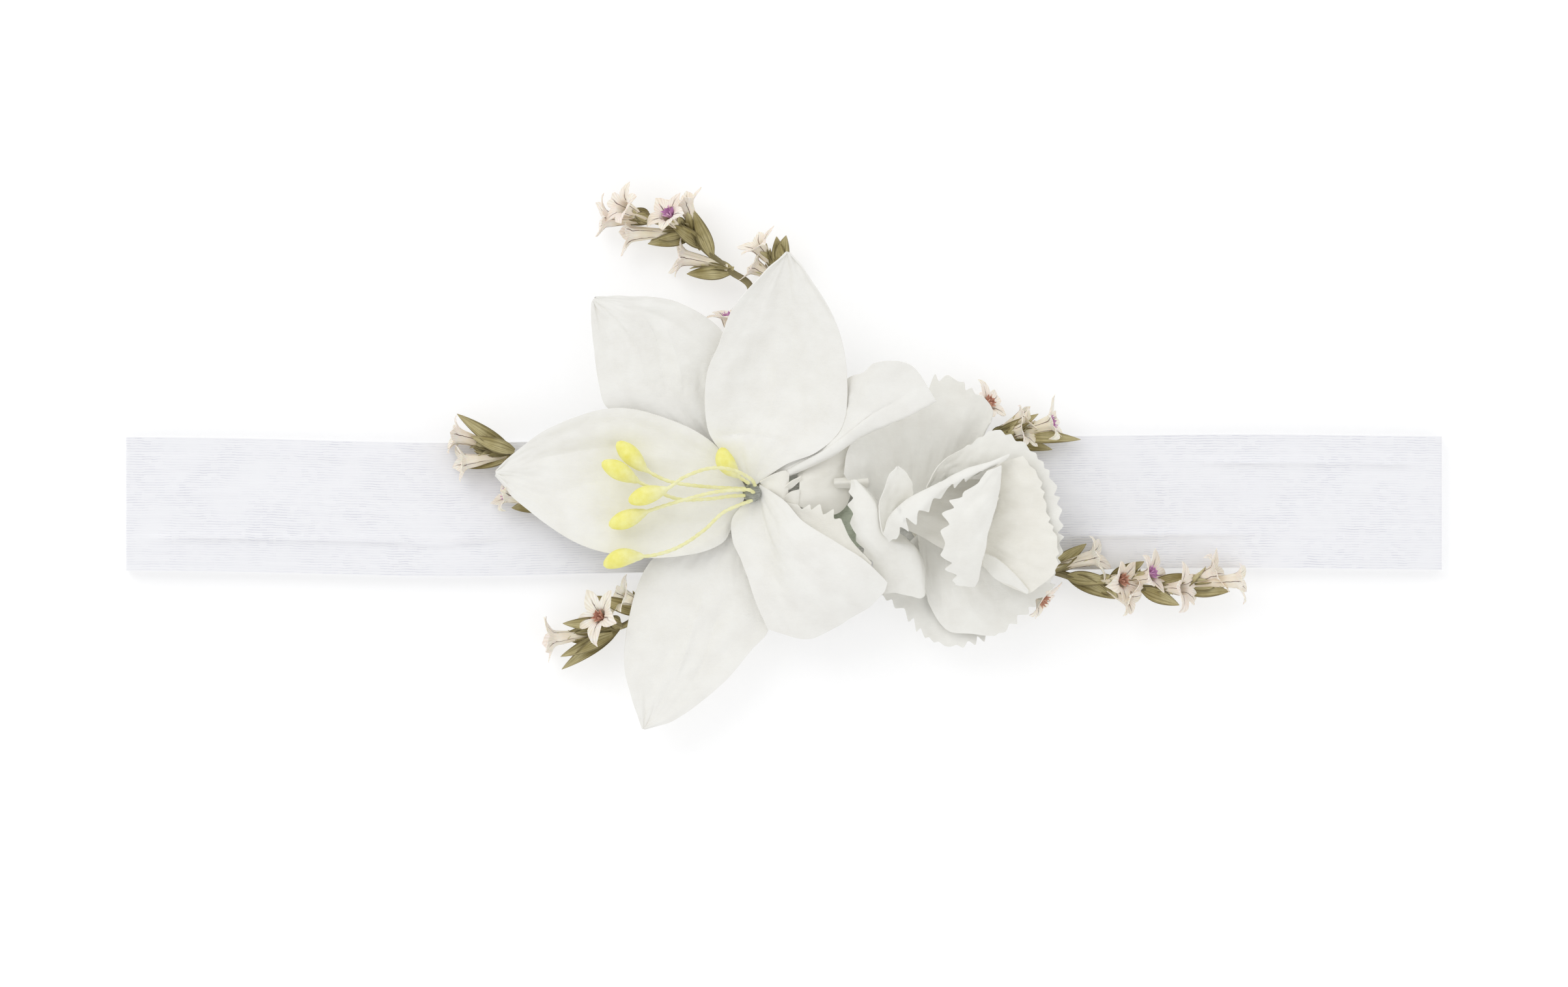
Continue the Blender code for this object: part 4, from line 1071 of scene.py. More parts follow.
# %% Carnation petals
CARNATION_PETALS = {
    "carnation_back_petal": [
        [(-13, -2, 1.6), (-17, 3, 3.6), (-19.9, 7.6, 6.0)],
        [(-9, 1.6, 1.8), (-13.5, 8, 4.4), (-19.0, 12.6, 7.0)],
        [(-6, 4, 2.2), (-8, 14, 4.4), (-11.5, 21.5, 7)],
        [(-2, 5, 2.4), (-2.2, 16, 4.4), (-3.2, 26.2, 7)],
        [(0.5, 5.4, 2.4), (1.4, 15, 4), (2.6, 24.8, 6.8)],
        [(1, 5.4, 2.4), (4, 13, 3.8), (7.9, 19.4, 6)],
        [(2, 4.8, 2.4), (4.6, 9.6, 3.6), (6.2, 15, 5)],
    ],
    "carnation_right_petal": [
        [(-1.5, 5.3, 5.5), (-3.2, 5.4, 6.4), (-4.6, 5, 7.6)],
        [(0, 5.6, 5.5), (-1.4, 7.8, 7), (-1.9, 9.3, 8)],
        [(2, 5.4, 5.5), (3.4, 9.6, 7.6), (4.6, 13.9, 8.5)],
        [(3.4, 4.6, 5.5), (6, 10, 8), (8.6, 15.9, 8.8)],
        [(4.4, 3.4, 5.5), (10, 8.8, 8.2), (14.6, 12.8, 9)],
        [(5.4, 1.2, 5.5), (12.5, 3.4, 8.6), (19.6, 6.2, 9.3)],
        [(5.6, -1, 5.5), (13, -2.5, 8.8), (21.2, -2.6, 9.3)],
        [(4.6, -3.4, 5.5), (12, -7.2, 8.2), (20.8, -8.6, 8)],
        [(3.4, -4.8, 5.2), (9.5, -10.4, 7), (18.6, -13, 6.6)],
    ],
    "carnation_lower_petal": [
        [(4, -3.3, 1.5), (9, -10.5, 2.2), (14.5, -16, 2.6)],
        [(2, -4.9, 1.5), (5, -14, 2), (8.6, -22.6, 2.4)],
        [(-0.5, -5.2, 1.5), (0.5, -15, 1.6), (1.8, -25, 2)],
        [(-3, -4.2, 1.5), (-4.5, -13, 1.6), (-5.2, -22.8, 2)],
        [(-4, -3.4, 1.5), (-7, -10.5, 1.7), (-8.6, -19, 2.1)],
        [(-4.6, -2.4, 1.5), (-10, -8, 1.8), (-13.6, -14.6, 2.2)],
    ],
    "carnation_lower_lobe": [
        [(5, -3.5, 3.4), (11, -9.5, 4.8), (19.8, -13.2, 5)],
        [(4, -4.2, 3.4), (9.5, -11.5, 4.8), (15.2, -18.2, 4.8)],
        [(2, -5, 3.4), (6, -12.5, 4.6), (9.4, -22.4, 4.6)],
        [(0.6, -5.4, 3.4), (2.5, -13.5, 4.4), (3.9, -22.3, 4)],
        [(-1.5, -5, 3.3), (-1, -13, 4.2), (-0.5, -21.6, 3.9)],
        [(-4, -3.6, 3.2), (-4.4, -10, 4), (-4, -16.4, 3.8)],
        [(-6.5, -2.5, 3), (-5.6, -6, 3.4), (-4.9, -10, 4)],
    ],
    "carnation_left_flap": [
        [(-18.4, 6.4, 10.2), (-18.9, 4, 10), (-19.2, 1, 9.6), (-18.4, -2.9, 9), (-17, -5.6, 8.4),
         (-14.6, -9.2, 7.6), (-12.6, -14.6, 6)],
        [(-18, 6.5, 11.2), (-17.4, 3.6, 11.6), (-17, 0.8, 12), (-16.2, -2.6, 11.6), (-14.6, -5.2, 11),
         (-12, -8.6, 9.6), (-10.3, -14.4, 7)],
        [(-17.6, 6.4, 11.2), (-15.6, 3.8, 12), (-14, 1.2, 12.4), (-13.3, -2.5, 12), (-11.9, -4.9, 11.4),
         (-9, -7.4, 10.6), (-7.4, -15.4, 7.4)],
        [(-17.4, 6.2, 10.6), (-15, 3.6, 11), (-13.4, 1, 11), (-12.6, -2.4, 11), (-11, -4.4, 10.8),
         (-6.6, -6.8, 10.4), (-5.3, -15.6, 7.2)],
        [(-17.2, 6, 9), (-14.6, 3.4, 8), (-13, 0.8, 7.6), (-12.2, -2.4, 7.6), (-9.4, -3.6, 8),
         (-5.6, -7.6, 8.8), (-4.7, -13.6, 6.6)],
    ],
    "carnation_small_flap": [
        [(-11.6, -4.7, 12.2), (-12.8, -3.4, 12.6), (-13.2, -1, 12.8), (-13.1, 2, 13.2), (-12.2, 4.8, 14),
         (-11.4, 7.4, 14.6), (-10, 9, 15)],
        [(-11.6, -4.4, 11.6), (-11.6, -1, 11.4), (-11.2, 2, 12), (-10.5, 5.6, 13.4), (-9.9, 9, 15)],
        [(-11.3, -3.2, 12.2), (-10.8, -0.6, 11.4), (-9.4, 1.8, 11.2), (-7, 3.8, 12.4), (-7.2, 6.3, 13.4),
         (-8.4, 8.1, 14.4), (-9.8, 9, 15)],
    ],
    "carnation_rolled_flap": [
        [(5, 7.5, 9.6), (0, 6, 9.4), (-4, 3.4, 9.2), (-7, 0.6, 9.2), (-9, -2, 9.4)],
        [(11, 11.2, 12.4), (7.5, 9.6, 14.6), (2.9, 8.2, 16.2), (-4.2, 4.8, 17), (-9.3, 1.4, 16.2),
         (-11.4, -1.2, 14.8), (-12.4, -3.6, 13.2)],
        [(10.4, 10.4, 12.8), (7, 8.8, 15.4), (2.4, 6.8, 17.4), (-4.4, 3.2, 18.2), (-9, -0.6, 16.8),
         (-11.9, -4.4, 13)],
        [(9, 9.4, 13.2), (5, 7.8, 15.4), (2.2, 5.6, 16.8), (-0.6, 3.8, 17.4), (-3.2, 1.2, 17.6),
         (-6.2, -1.8, 17.2), (-8.8, -3.9, 15.4), (-11.6, -5.3, 12.6)],
    ],
    "carnation_centre_flap": [
        [(6.8, 8, 16.2), (5, 5.9, 17), (1.4, 3.4, 17.6), (-1.4, 1.6, 18), (-1.6, -1.6, 18.6),
         (-2.1, -4.4, 18.6), (-2, -7, 18.2), (-1, -10.4, 16.8), (1, -13.2, 14.6)],
        [(8.2, 8.6, 16.4), (5.5, 4, 18), (3, -3.5, 18.8), (2.8, -9, 17.4), (3, -13.5, 14.4)],
        [(9.4, 9.1, 15), (8.9, 5, 15.6), (7.6, -1, 16.2), (6.3, -6.8, 16), (5.6, -9.6, 15.2),
         (4.5, -13.4, 13.6)],
        [(8.8, 8.9, 14), (8.3, 4.9, 14.4), (7, -1, 14.8), (5.8, -6.6, 14.6), (5.2, -9.4, 14),
         (4.2, -13, 12.8)],
        [(8.2, 8.4, 11), (6.6, 4, 11), (5, -2, 11), (3.8, -8, 10.5)],
    ],
    "carnation_lip": [
        [(6.1, -7.1, 10.6), (8.6, -8.3, 11.8), (12.1, -11.3, 12.2), (14.6, -14.2, 11.2)],
        [(6.2, -9.4, 10.2), (8.6, -12.1, 10.8), (11.4, -13.2, 11), (14.4, -14.8, 10.8)],
    ],
}

# %% [markdown]
# ### The strip deeper in the flower
# Two more lengths of the strip show between and beyond the flaps. Without them, the gaps would look
# straight through to the core.

# %% Folds of the carnation
CARNATION_FOLDS = {
    "carnation_fold_inner": [
        [(-9, -2.4, 9.6), (-5.4, -4.2, 9.8), (-1.4, -6.4, 9.8), (3, -8, 9.4)],
        [(-7.4, 0.6, 10.6), (-3.5, -1.2, 10.8), (1, -3, 10.6), (5, -5, 10)],
        [(-5.5, 3.6, 11), (-1, 2.6, 11.4), (3.5, 1.4, 11), (7, -1, 10.4)],
        [(-2, 6, 10.6), (2.5, 6.4, 11), (7, 6, 10.6), (9, 3, 10)],
    ],
    "carnation_fold_right": [
        [(7, 8.4, 9.4), (10, 9.8, 10.6), (13.6, 10.9, 11.2)],
        [(7.6, 4, 9), (12, 5.4, 10.8), (16.9, 6.6, 11.4)],
        [(7.2, -1, 8.8), (12.5, -0.6, 10.6), (18.2, 0.6, 11.2)],
        [(6.6, -4, 8.8), (12.5, -5, 10.4), (20, -4.6, 11)],
        [(6.2, -7, 9.2), (12, -8.8, 10.6), (19.9, -10.2, 10.4)],
        [(6.1, -7.6, 9.6), (11, -10.8, 11), (15.8, -14, 10.2)],
        [(6, -9.4, 8.8), (9.5, -12.4, 9.4), (14.2, -14.5, 9.4)],
    ],
}

# %% Make the carnation's petals and folds
# Which side of each piece is pinked: (side, tooth pitch, depth, length of the side, width behind it,
# start and end as shares), with the sizes in millimetres.
PINKING = {
    "carnation_back_petal": ("end", 3.2, 1.3, 52, 16, 0.42, 0.82),
    "carnation_right_petal": ("end", 2.7, 0.65, 58, 15, 0.16, 1.0),
    "carnation_fold_right": ("end", 2.6, 0.45, 34, 11, 0.0, 0.8),
    "carnation_lower_petal": ("end", 2.9, 1.1, 42, 18, 0.0, 1.0),
    "carnation_lower_lobe": ("end", 2.9, 1.1, 46, 18, 0.0, 0.42),
    "carnation_left_flap": ("first", 3.4, 1.3, 24, 10, 0.0, 0.9),
    "carnation_small_flap": ("last", 2.2, 0.4, 14, 6, 0.4, 0.9),
    "carnation_rolled_flap": ("last", 3.1, 1.4, 29, 11, 0.1, 1.0),
    "carnation_centre_flap": ("first", 2.8, 1.0, 22, 12, 0.05, 1.0),
}

# A sheet has most of its grid along its pinked side: across it at its end, and along it at a rail.
PINKED_END_GRID = (70, 180)
PINKED_RAIL_GRID = (150, 60)

# The carnation's folds get the paper with painted bounce light and painted shade; its outer petals get plain
# carnation paper.
for number, (name, rails) in enumerate((CARNATION_PETALS | CARNATION_FOLDS).items()):
    outer = name in CARNATION_PETALS
    cut = straight_edges
    if name in PINKING:
        *sizes, start, end = PINKING[name]
        cut = pinked(*sizes, start=start, end=end, seed=number)
    paper_sheet(
        name,
        rails,
        CARNATION_FOOT,
        CARNATION_PAPER if outer else BOUNCE_PAINTED_PAPER,
        grid=PINKED_END_GRID if PINKING.get(name, ("",))[0] == "end" else PINKED_RAIL_GRID,
        seed=40 + number * 2.9,
        cut=cut,
        strength=1.3,
        nodes=[name] if outer else (),
    )
print("carnation petals:", len(CARNATION_PETALS), "and folds:", len(CARNATION_FOLDS))

# %% Carnation core
PLEATS = 11


def gathered_core():
    """The strip's gathered foot: a cone of paper with deep folds."""
    low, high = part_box("carnation_core")
    steps = 24
    path = [CARNATION_FOOT + Vector((0, 0, (high.z - low.z) * step / steps)) for step in range(steps + 1)]
    radius = (high.x - low.x) / 2
    radii = [radius * (0.72 + 0.2 * step / steps) for step in range(steps + 1)]

    def folds(along, angle):
        pleat = math.sin(PLEATS * angle + 1.5 * math.sin(3 * angle))
        return 1 + 0.13 * pleat * (0.4 + 0.6 * along)

    bm = tube(path, radii, 132, folds)
    new_piece("carnation_core", bm, [CARNATION_PAPER], nodes=["carnation_core"])
    print("core radius:", round(radius / MM, 1), "mm")


gathered_core()

# %% [markdown]
# ## Ribbon
# The ribbon is one strip. Its front lies flat under the flowers, and each end folds behind it in three
# leaves. Every fold is a joint, so the strip is made as lengths that each bend across just one fold,
# and that meet in the middle of a leaf. One function places all of them, so that their ends match.

# %% The ribbon's path
RIBBON_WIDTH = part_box("ribbon_front")[1].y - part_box("ribbon_front")[0].y
SATIN_THICKNESS = 0.22 * MM
LEAVES = [node_middle("ribbon_front").z] + [
    node_middle(f"ribbon_right_tail_{leaf}").z for leaf in (1, 2, 3)
]
OUTER_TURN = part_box("ribbon_front")[1].x + 0.5 * MM
INNER_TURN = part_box("ribbon_right_tail_1")[0].x - 0.5 * MM
TURN_STEPS = 14
RUN_STEP = 1.6 * MM
print("ribbon leaves at heights:", [round(leaf / MM, 2) for leaf in LEAVES])


def half_turn(middle, way, radius):
    """The points of a fold from its upper leaf round to its lower one."""
    points = []
    for step in range(1, TURN_STEPS):
        angle = math.pi * step / TURN_STEPS
        x = middle.x + way * radius * math.sin(angle)
        points.append(Vector((x, middle.z + radius * math.cos(angle))))
    return points


def straight_run(start_x, end_x, height):
    """The points of a flat stretch, about a step apart."""
    count = max(1, round(abs(end_x - start_x) / RUN_STEP))
    return [Vector((start_x + (end_x - start_x) * step / count, height)) for step in range(count + 1)]


def ribbon_stretch(first_leaf, from_x, to_x):
    """The side view of the ribbon from one leaf, round the fold at its far end, to the next leaf."""
    outward = first_leaf % 2 == 0
    turn_x = OUTER_TURN if outward else INNER_TURN
    upper, lower = LEAVES[first_leaf], LEAVES[first_leaf + 1]
    middle = Vector((turn_x, 0, (upper + lower) / 2))
    points = straight_run(from_x, turn_x, upper)
    points += half_turn(middle, 1 if outward else -1, (upper - lower) / 2)
    return points + straight_run(turn_x, to_x, lower)

# %% [markdown]
# ### How the ribbon lies
# Ribbon that was wound on a card keeps the lines it was pressed along, and lies in low waves that
# follow no rule. Noise gives the waves, and each pressed line is a narrow ridge along the ribbon. Only
# the front may rise, and it stays flat under the flowers and at the folds.

# %% Waves and creases of the ribbon
CREASES = [
    # Place across the ribbon, start and end along it, height and width, all in millimetres.
    (-6.3, -135, -46, 0.8, 0.45),
    (7.3, 74, 135, 0.8, 0.45),
    (-6.1, 47, 92, 0.6, 0.7),
    (2.2, -135, -96, 0.22, 1.1),
    (9.6, -110, -60, 0.16, 0.8),
]


def sideways(x_mm):
    """How far the ribbon's middle is off the X axis, in millimetres: it was laid by hand."""
    left = -1.1 * math.exp(-(((x_mm + 62) / 34) ** 2))
    right = 0.45 * math.exp(-(((x_mm - 86) / 30) ** 2))
    return left + right


def lift(x_mm, y_mm):
    """The height of the ribbon's soft waves and pressed creases on its front, in millimetres."""
    wave = 0.22 * noise.noise(Vector((x_mm / 21, y_mm / 15, 3.3)))
    wave += 0.10 * noise.noise(Vector((x_mm / 7, y_mm / 5, 8.1)))
    total = 0.18 + wave
    for middle, start, end, height, width in CREASES:
        fade = min(max((x_mm - start) / 12, 0), 1) * min(max((end - x_mm) / 12, 0), 1)
        off = y_mm - middle - 0.25 * noise.noise(Vector((x_mm / 9, middle, 0)))
        total += height * fade * math.exp(-abs(off) / width)
    return total


FLOWERS_END = 44
FOLD_START = 121


def ribbon_point(x, z, across, on_front):
    """A point of the ribbon. Its front is free to rise, and the leaves behind it are pressed flat."""
    x_mm, y_mm = x / MM, across / MM
    clear = min(max((abs(x_mm) - FLOWERS_END) / 12, 0), 1)
    clear *= min(max((FOLD_START - abs(x_mm)) / 8, 0), 1)
    if on_front:
        height = max(-0.1, lift(x_mm, y_mm) * clear)
    else:
        height = 0.08 * noise.noise(Vector((x_mm / 16, y_mm / 10, z / MM)))
    return Vector((x, across + sideways(x_mm) * MM, z + height * MM))

# %% A length of ribbon
ACROSS_STEPS = 56


def ribbon_piece(name, side_view, side, run_start, nodes, front_count, body=None):
    """A length of ribbon over a side view, with UVs in millimetres. Gives the piece and its length."""
    runs = [run_start]
    for start, end in zip(side_view, side_view[1:]):
        runs.append(runs[-1] + (end - start).length)
    bm = bmesh.new()
    bmesh.ops.create_grid(bm, x_segments=len(side_view) - 1, y_segments=ACROSS_STEPS, size=0.5)
    flow = bm.loops.layers.uv.new("flow")
    shares = {vert: (vert.co.x + 0.5, vert.co.y) for vert in bm.verts}
    for vert, (along, across) in shares.items():
        index = round(along * (len(side_view) - 1))
        point = side_view[index]
        vert.co = ribbon_point(side * point.x, point.y, across * RIBBON_WIDTH, index < front_count)
    for face in bm.faces:
        for loop in face.loops:
            along, across = shares[loop.vert]
            run = runs[round(along * (len(side_view) - 1))]
            loop[flow].uv = (side * run / MM, across * RIBBON_WIDTH / MM)
    bmesh.ops.recalc_face_normals(bm, faces=bm.faces)
    made = new_piece(name, bm, [SATIN], nodes=nodes, body=body)
    thicken(made, SATIN_THICKNESS)
    return made, runs[-1] - run_start

# %% Front length
MEETING = 78 * MM

front_view = straight_run(-MEETING, MEETING, LEAVES[0])
front, front_run = ribbon_piece(
    "satin_front", front_view, 1, -MEETING, ["ribbon_front"], len(front_view), body="crown"
)
print("front length:", round(front_run / MM), "mm")

for label, side in (("left", -1), ("right", 1)):
    run = MEETING
    for leaf in (1, 2, 3):
        end_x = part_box(f"ribbon_right_tail_{leaf}")[0].x if leaf == 3 else MEETING
        view = ribbon_stretch(leaf - 1, MEETING, end_x)
        on_front = sum(1 for point in view if leaf == 1 and point.y == LEAVES[0])
        node = f"ribbon_{label}_tail_{leaf}"
        made, length = ribbon_piece(f"satin_{label}_fold_{leaf}", view, side, run, [node], on_front)
        run += length
        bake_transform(made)
    print(label, "ribbon runs", round(run / MM), "mm from the middle")

# %% [markdown]
# ## Felt, glue and wire stems
# Wool felt has no hard edge: it is cut with scissors and its rim is soft and a little furry. An oval
# slab gets its rounded rim from a bevel and its uneven faces from small moves of its vertices.

# %% Felt ovals
FELT_RINGS = 8


def felt_oval(name):
    """An oval of felt. Rings on its faces give the noise vertices to move."""
    low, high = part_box(name)
    middle, size = (low + high) / 2, high - low
    bm = bmesh.new()
    bmesh.ops.create_cone(bm, cap_ends=True, segments=96, radius1=0.5, radius2=0.5, depth=1)
    bmesh.ops.scale(bm, vec=size, verts=bm.verts)
    rims = [edge for edge in bm.edges if abs(edge.verts[0].co.z - edge.verts[1].co.z) < 0.000001]
    round_off = min(0.35 * size.z, 0.5 * MM)
    bmesh.ops.bevel(
        bm, geom=rims, offset=round_off, affect="EDGES", segments=3, profile=0.5, material=-1
    )
    caps = [face for face in bm.faces if len(face.verts) > 4]
    for ring in range(FELT_RINGS, 1, -1):
        share = (ring - 1) / ring
        for cap in caps:
            bmesh.ops.inset_individual(bm, faces=[cap], thickness=0.01 * MM)
            bmesh.ops.scale(bm, vec=(share, share, 1), verts=cap.verts)
    for vert in bm.verts:
        furry = noise.noise(vert.co * 900) * 0.05 + noise.noise(vert.co * 250) * 0.06
        vert.co += Vector((vert.co.x, vert.co.y * 4, 0)).normalized() * furry * MM
        vert.co.z += noise.noise(vert.co * 400) * 0.05 * MM
    bmesh.ops.translate(bm, vec=middle, verts=bm.verts)
    bmesh.ops.recalc_face_normals(bm, faces=bm.faces)
    new_piece(name, bm, [FELT], nodes=[name])
    print(name, "is", round(size.x / MM), "by", round(size.y / MM), "mm")


felt_oval("felt_backing")
felt_oval("felt_base")

# %% Glue pads
# The outline of a pad: (share of its height, share of its radius).
PAD_OUTLINE = [(0, 0.93), (0.06, 0.97), (0.25, 1.0), (0.5, 0.99), (0.75, 0.95), (0.94, 0.88), (1, 0.8)]


def glue_pad(name):
    """A pad of hot glue, pressed out unevenly under a flower."""
    low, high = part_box(name)
    radius = (high.x - low.x) / 2
    path = [flower_foot(name) + Vector((0, 0, (high.z - low.z) * share)) for share, reach in PAD_OUTLINE]
    radii = [radius * reach for share, reach in PAD_OUTLINE]

    def spread(along, angle):
        return 1 + 0.06 * noise.noise(Vector((math.cos(angle) * 1.4, math.sin(angle) * 1.4, radius / MM)))

    bm = tube(path, radii, 64, spread)
    new_piece(name, bm, [GLUE], nodes=[name])
    print(name, "is", round(2 * radius / MM, 1), "mm across")


glue_pad("glue_lily")
glue_pad("glue_carnation")

# %% Wire stems
WIRE_RADIUS = 0.42 * MM
WRAPPED_RADIUS = 0.45 * MM
WIRE_STEPS = 70
TAPE_TURNS = 9


def wire_stem(name):
    """A wire wrapped in a narrow spiral of paper tape, bowed a little where it was bent flat."""
    low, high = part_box(name)
    height = (low.z + high.z) / 2
    side = low.y + WRAPPED_RADIUS
    bow = high.y - WRAPPED_RADIUS
    route = [Vector((low.x, side, height)), Vector(((low.x + high.x) / 2, bow, height))]
    route.append(Vector((high.x, side, height)))

    def tape(along, angle):
        turned = (along * TAPE_TURNS + angle / (2 * math.pi)) % 1
        return 1 + 0.14 * turned

    bm = tube(path_points(route, WIRE_STEPS), [WIRE_RADIUS * 0.9] * (WIRE_STEPS + 1), 20, tape)
    new_piece(name, bm, [STEM_TAPE], nodes=[name])
    print(name, "is", round((high.x - low.x) / MM), "mm long")


wire_stem("lily_wire_stem")
wire_stem("carnation_wire_stem")

# %% [markdown]
# ## Dried statice
# Each sprig is one stem with trumpet flowers and slim bracts. Every flower is the same idea with its
# own numbers: a tube that flares into five pointed papery lobes, some of them curled by drying. Its
# sheet is a grid wrapped round the flower's axis, whose rim is cut to a star before it is wrapped.

# %% A floret
LOBES = 5
NOTCH_SHARE = 0.74
TUBE_SHARE = 0.6
TUBE_MOUTH = 1.35 * MM
STAR_SPREAD = 1.45


def frame_along(direction):
    """A rotation that turns +Z to a direction."""
    return direction.normalized().to_track_quat("Z", "Y")


def star_reach(turn, lengths):
    """How far up the flower's side the rim is: about 1 at the tip of each lobe, and less between lobes."""
    off = abs(turn % 1 - 0.5) * 2
    tip = (1 - off) ** 0.85
    lobe_length = (1 - NOTCH_SHARE) * lengths[int(turn) % LOBES]
    return NOTCH_SHARE + lobe_length * (0.86 * tip + 0.14 * max(0, 1 - off * 4))


def add_floret(bm, flow, foot, mouth, radius, chance, finish):
    """Adds a calyx from foot to mouth: a narrow tube, whose lobes open into a star past the radius."""
    axis = mouth - foot
    length = axis.length
    turn = frame_along(axis)
    spin = chance.uniform(0, 2 * math.pi)
    lengths = [chance.uniform(0.6, 1.3) for lobe in range(LOBES)]
    curls = [chance.uniform(-0.5, 1.0) for lobe in range(LOBES)]
    bend = Vector((chance.uniform(-1, 1), chance.uniform(-1, 1), 0)) * 0.06 * length
    made = bmesh.ops.create_grid(bm, x_segments=16, y_segments=50, size=0.5)["verts"]
    shares = {vert: (vert.co.x + 0.5, vert.co.y + 0.5) for vert in made}
    faces = {face for vert in made for face in vert.link_faces}
    for vert, (rise, around) in shares.items():
        lobes = around * LOBES
        last_place = min(lobes, LOBES - 0.0001)
        lobe = int(last_place)
        off = abs(lobes % 1 - 0.5) * 2 if lobes < LOBES else 1.0
        share = rise * star_reach(last_place, lengths)
        tube_share = min(share / TUBE_SHARE, 1)
        flare = max(0.0, (share - TUBE_SHARE) / (1 - TUBE_SHARE))
        wide = (0.6 + 0.75 * tube_share**1.5) * MM + (radius * STAR_SPREAD - TUBE_MOUTH) * flare**1.1
        wide *= 1 + 0.10 * (1 - off) * (1 - flare) + 0.05 * math.sin(lobes * 9)
        curl = curls[lobe] * (1 - off) * flare**3
        height = length * (0.84 * tube_share + 0.16 * math.sin(0.5 * math.pi * min(flare, 1)))
        height -= 1.6 * MM * curl
        wide -= 0.5 * MM * curl * curl
        angle = spin + 2 * math.pi * around
        sway = bend * math.sin(math.pi * min(share, 1))
        rough = 0.10 * MM * noise.noise(Vector((angle * 2, share * 7, spin)))
        point = Vector((math.cos(angle) * (wide + rough), math.sin(angle) * (wide + rough), height)) + sway
        vert.co = foot + turn @ point
        shares[vert] = (share, lobes)
    for face in faces:
        face.material_index = finish
        for loop in face.loops:
            share, lobes = shares[loop.vert]
            loop[flow].uv = (lobes, share)
    bmesh.ops.remove_doubles(bm, verts=made, dist=0.000002)

# %% A heart and a bract
def add_heart(bm, foot, mouth, chance, finish):
    """Adds the withered petals in a flower's mouth: a small crumpled cup."""
    axis = mouth - foot
    turn = frame_along(axis)
    made = bmesh.ops.create_cone(
        bm, cap_ends=False, segments=20, radius1=0.0004, radius2=0.0010, depth=0.0018
    )["verts"]
    base = foot + axis * 0.82
    for face in {face for vert in made for face in vert.link_faces}:
        face.material_index = finish
    for vert in made:
        angle = math.atan2(vert.co.y, vert.co.x)
        high = vert.co.z > 0
        crumple = 1 + (0.35 * math.sin(5 * angle + chance.uniform(-0.6, 0.6)) if high else 0)
        vert.co.x *= crumple
        vert.co.y *= crumple
        vert.co.z += 0.0004 * math.sin(7 * angle) if high else 0
        vert.co = base + turn @ vert.co


def add_bract(bm, flow, foot, tip, width, up, chance, finish):
    """Adds a lance-shaped leaf from foot to tip, folded along its middle and curved outwards."""
    reach = tip - foot
    side = reach.cross(up).normalized()
    normal = side.cross(reach).normalized()
    bow = reach.length * chance.uniform(0.04, 0.14)
    twist = chance.uniform(-0.5, 0.5)
    made = bmesh.ops.create_grid(bm, x_segments=12, y_segments=6, size=0.5)["verts"]
    shares = {vert: (vert.co.x + 0.5, vert.co.y) for vert in made}
    for vert, (along, across) in shares.items():
        leaf = math.sin(math.pi * min(along**0.75 * 0.98 + 0.02, 1)) ** 0.8
        leaf = max(leaf, 0.35 * (1 - along) ** 2, 0.015)
        off = across * width * leaf
        turned = twist * along
        sag = abs(across) * 2
        point = foot + reach * along + normal * bow * math.sin(math.pi * along * 0.9)
        point += side * off * math.cos(turned) + normal * off * math.sin(turned)
        point += normal * width * leaf * 0.45 * sag**1.5
        vert.co = point
    for face in {face for vert in made for face in vert.link_faces}:
        face.material_index = finish
        for loop in face.loops:
            along, across = shares[loop.vert]
            loop[flow].uv = (across + 0.5, along)

# %% A stem
STEM_STEP = 0.7 * MM


def add_stem(bm, points):
    """Adds a ribbed stem that thins towards its tip."""
    count = max(16, round(path_length(points) / STEM_STEP))
    path = path_points(points, count)
    radii = [STEM_RADIUS * (1.5 - 0.65 * step / count) for step in range(count + 1)]

    def ribs(along, angle):
        rough = noise.noise(Vector((along * 30, angle, 1)))
        return 1 + 0.12 * math.sin(5 * angle + along * 3) + 0.1 * rough

    stem = tube(path, radii, 12, ribs, lap=4.0)
    mesh = bpy.data.meshes.new("stem")
    stem.to_mesh(mesh)
    stem.free()
    for face in mesh.polygons:
        face.material_index = 1
    bm.from_mesh(mesh)
    bpy.data.meshes.remove(mesh)

# %% A sprig
BRACTS = 5
BRACT_WIDTHS = (2.0, 3.0)
LEAF_WIDTH = 2.7
LEAF_THICKNESS = 0.12 * MM
LOWEST_TIP = cad_low.z + 3.4 * MM


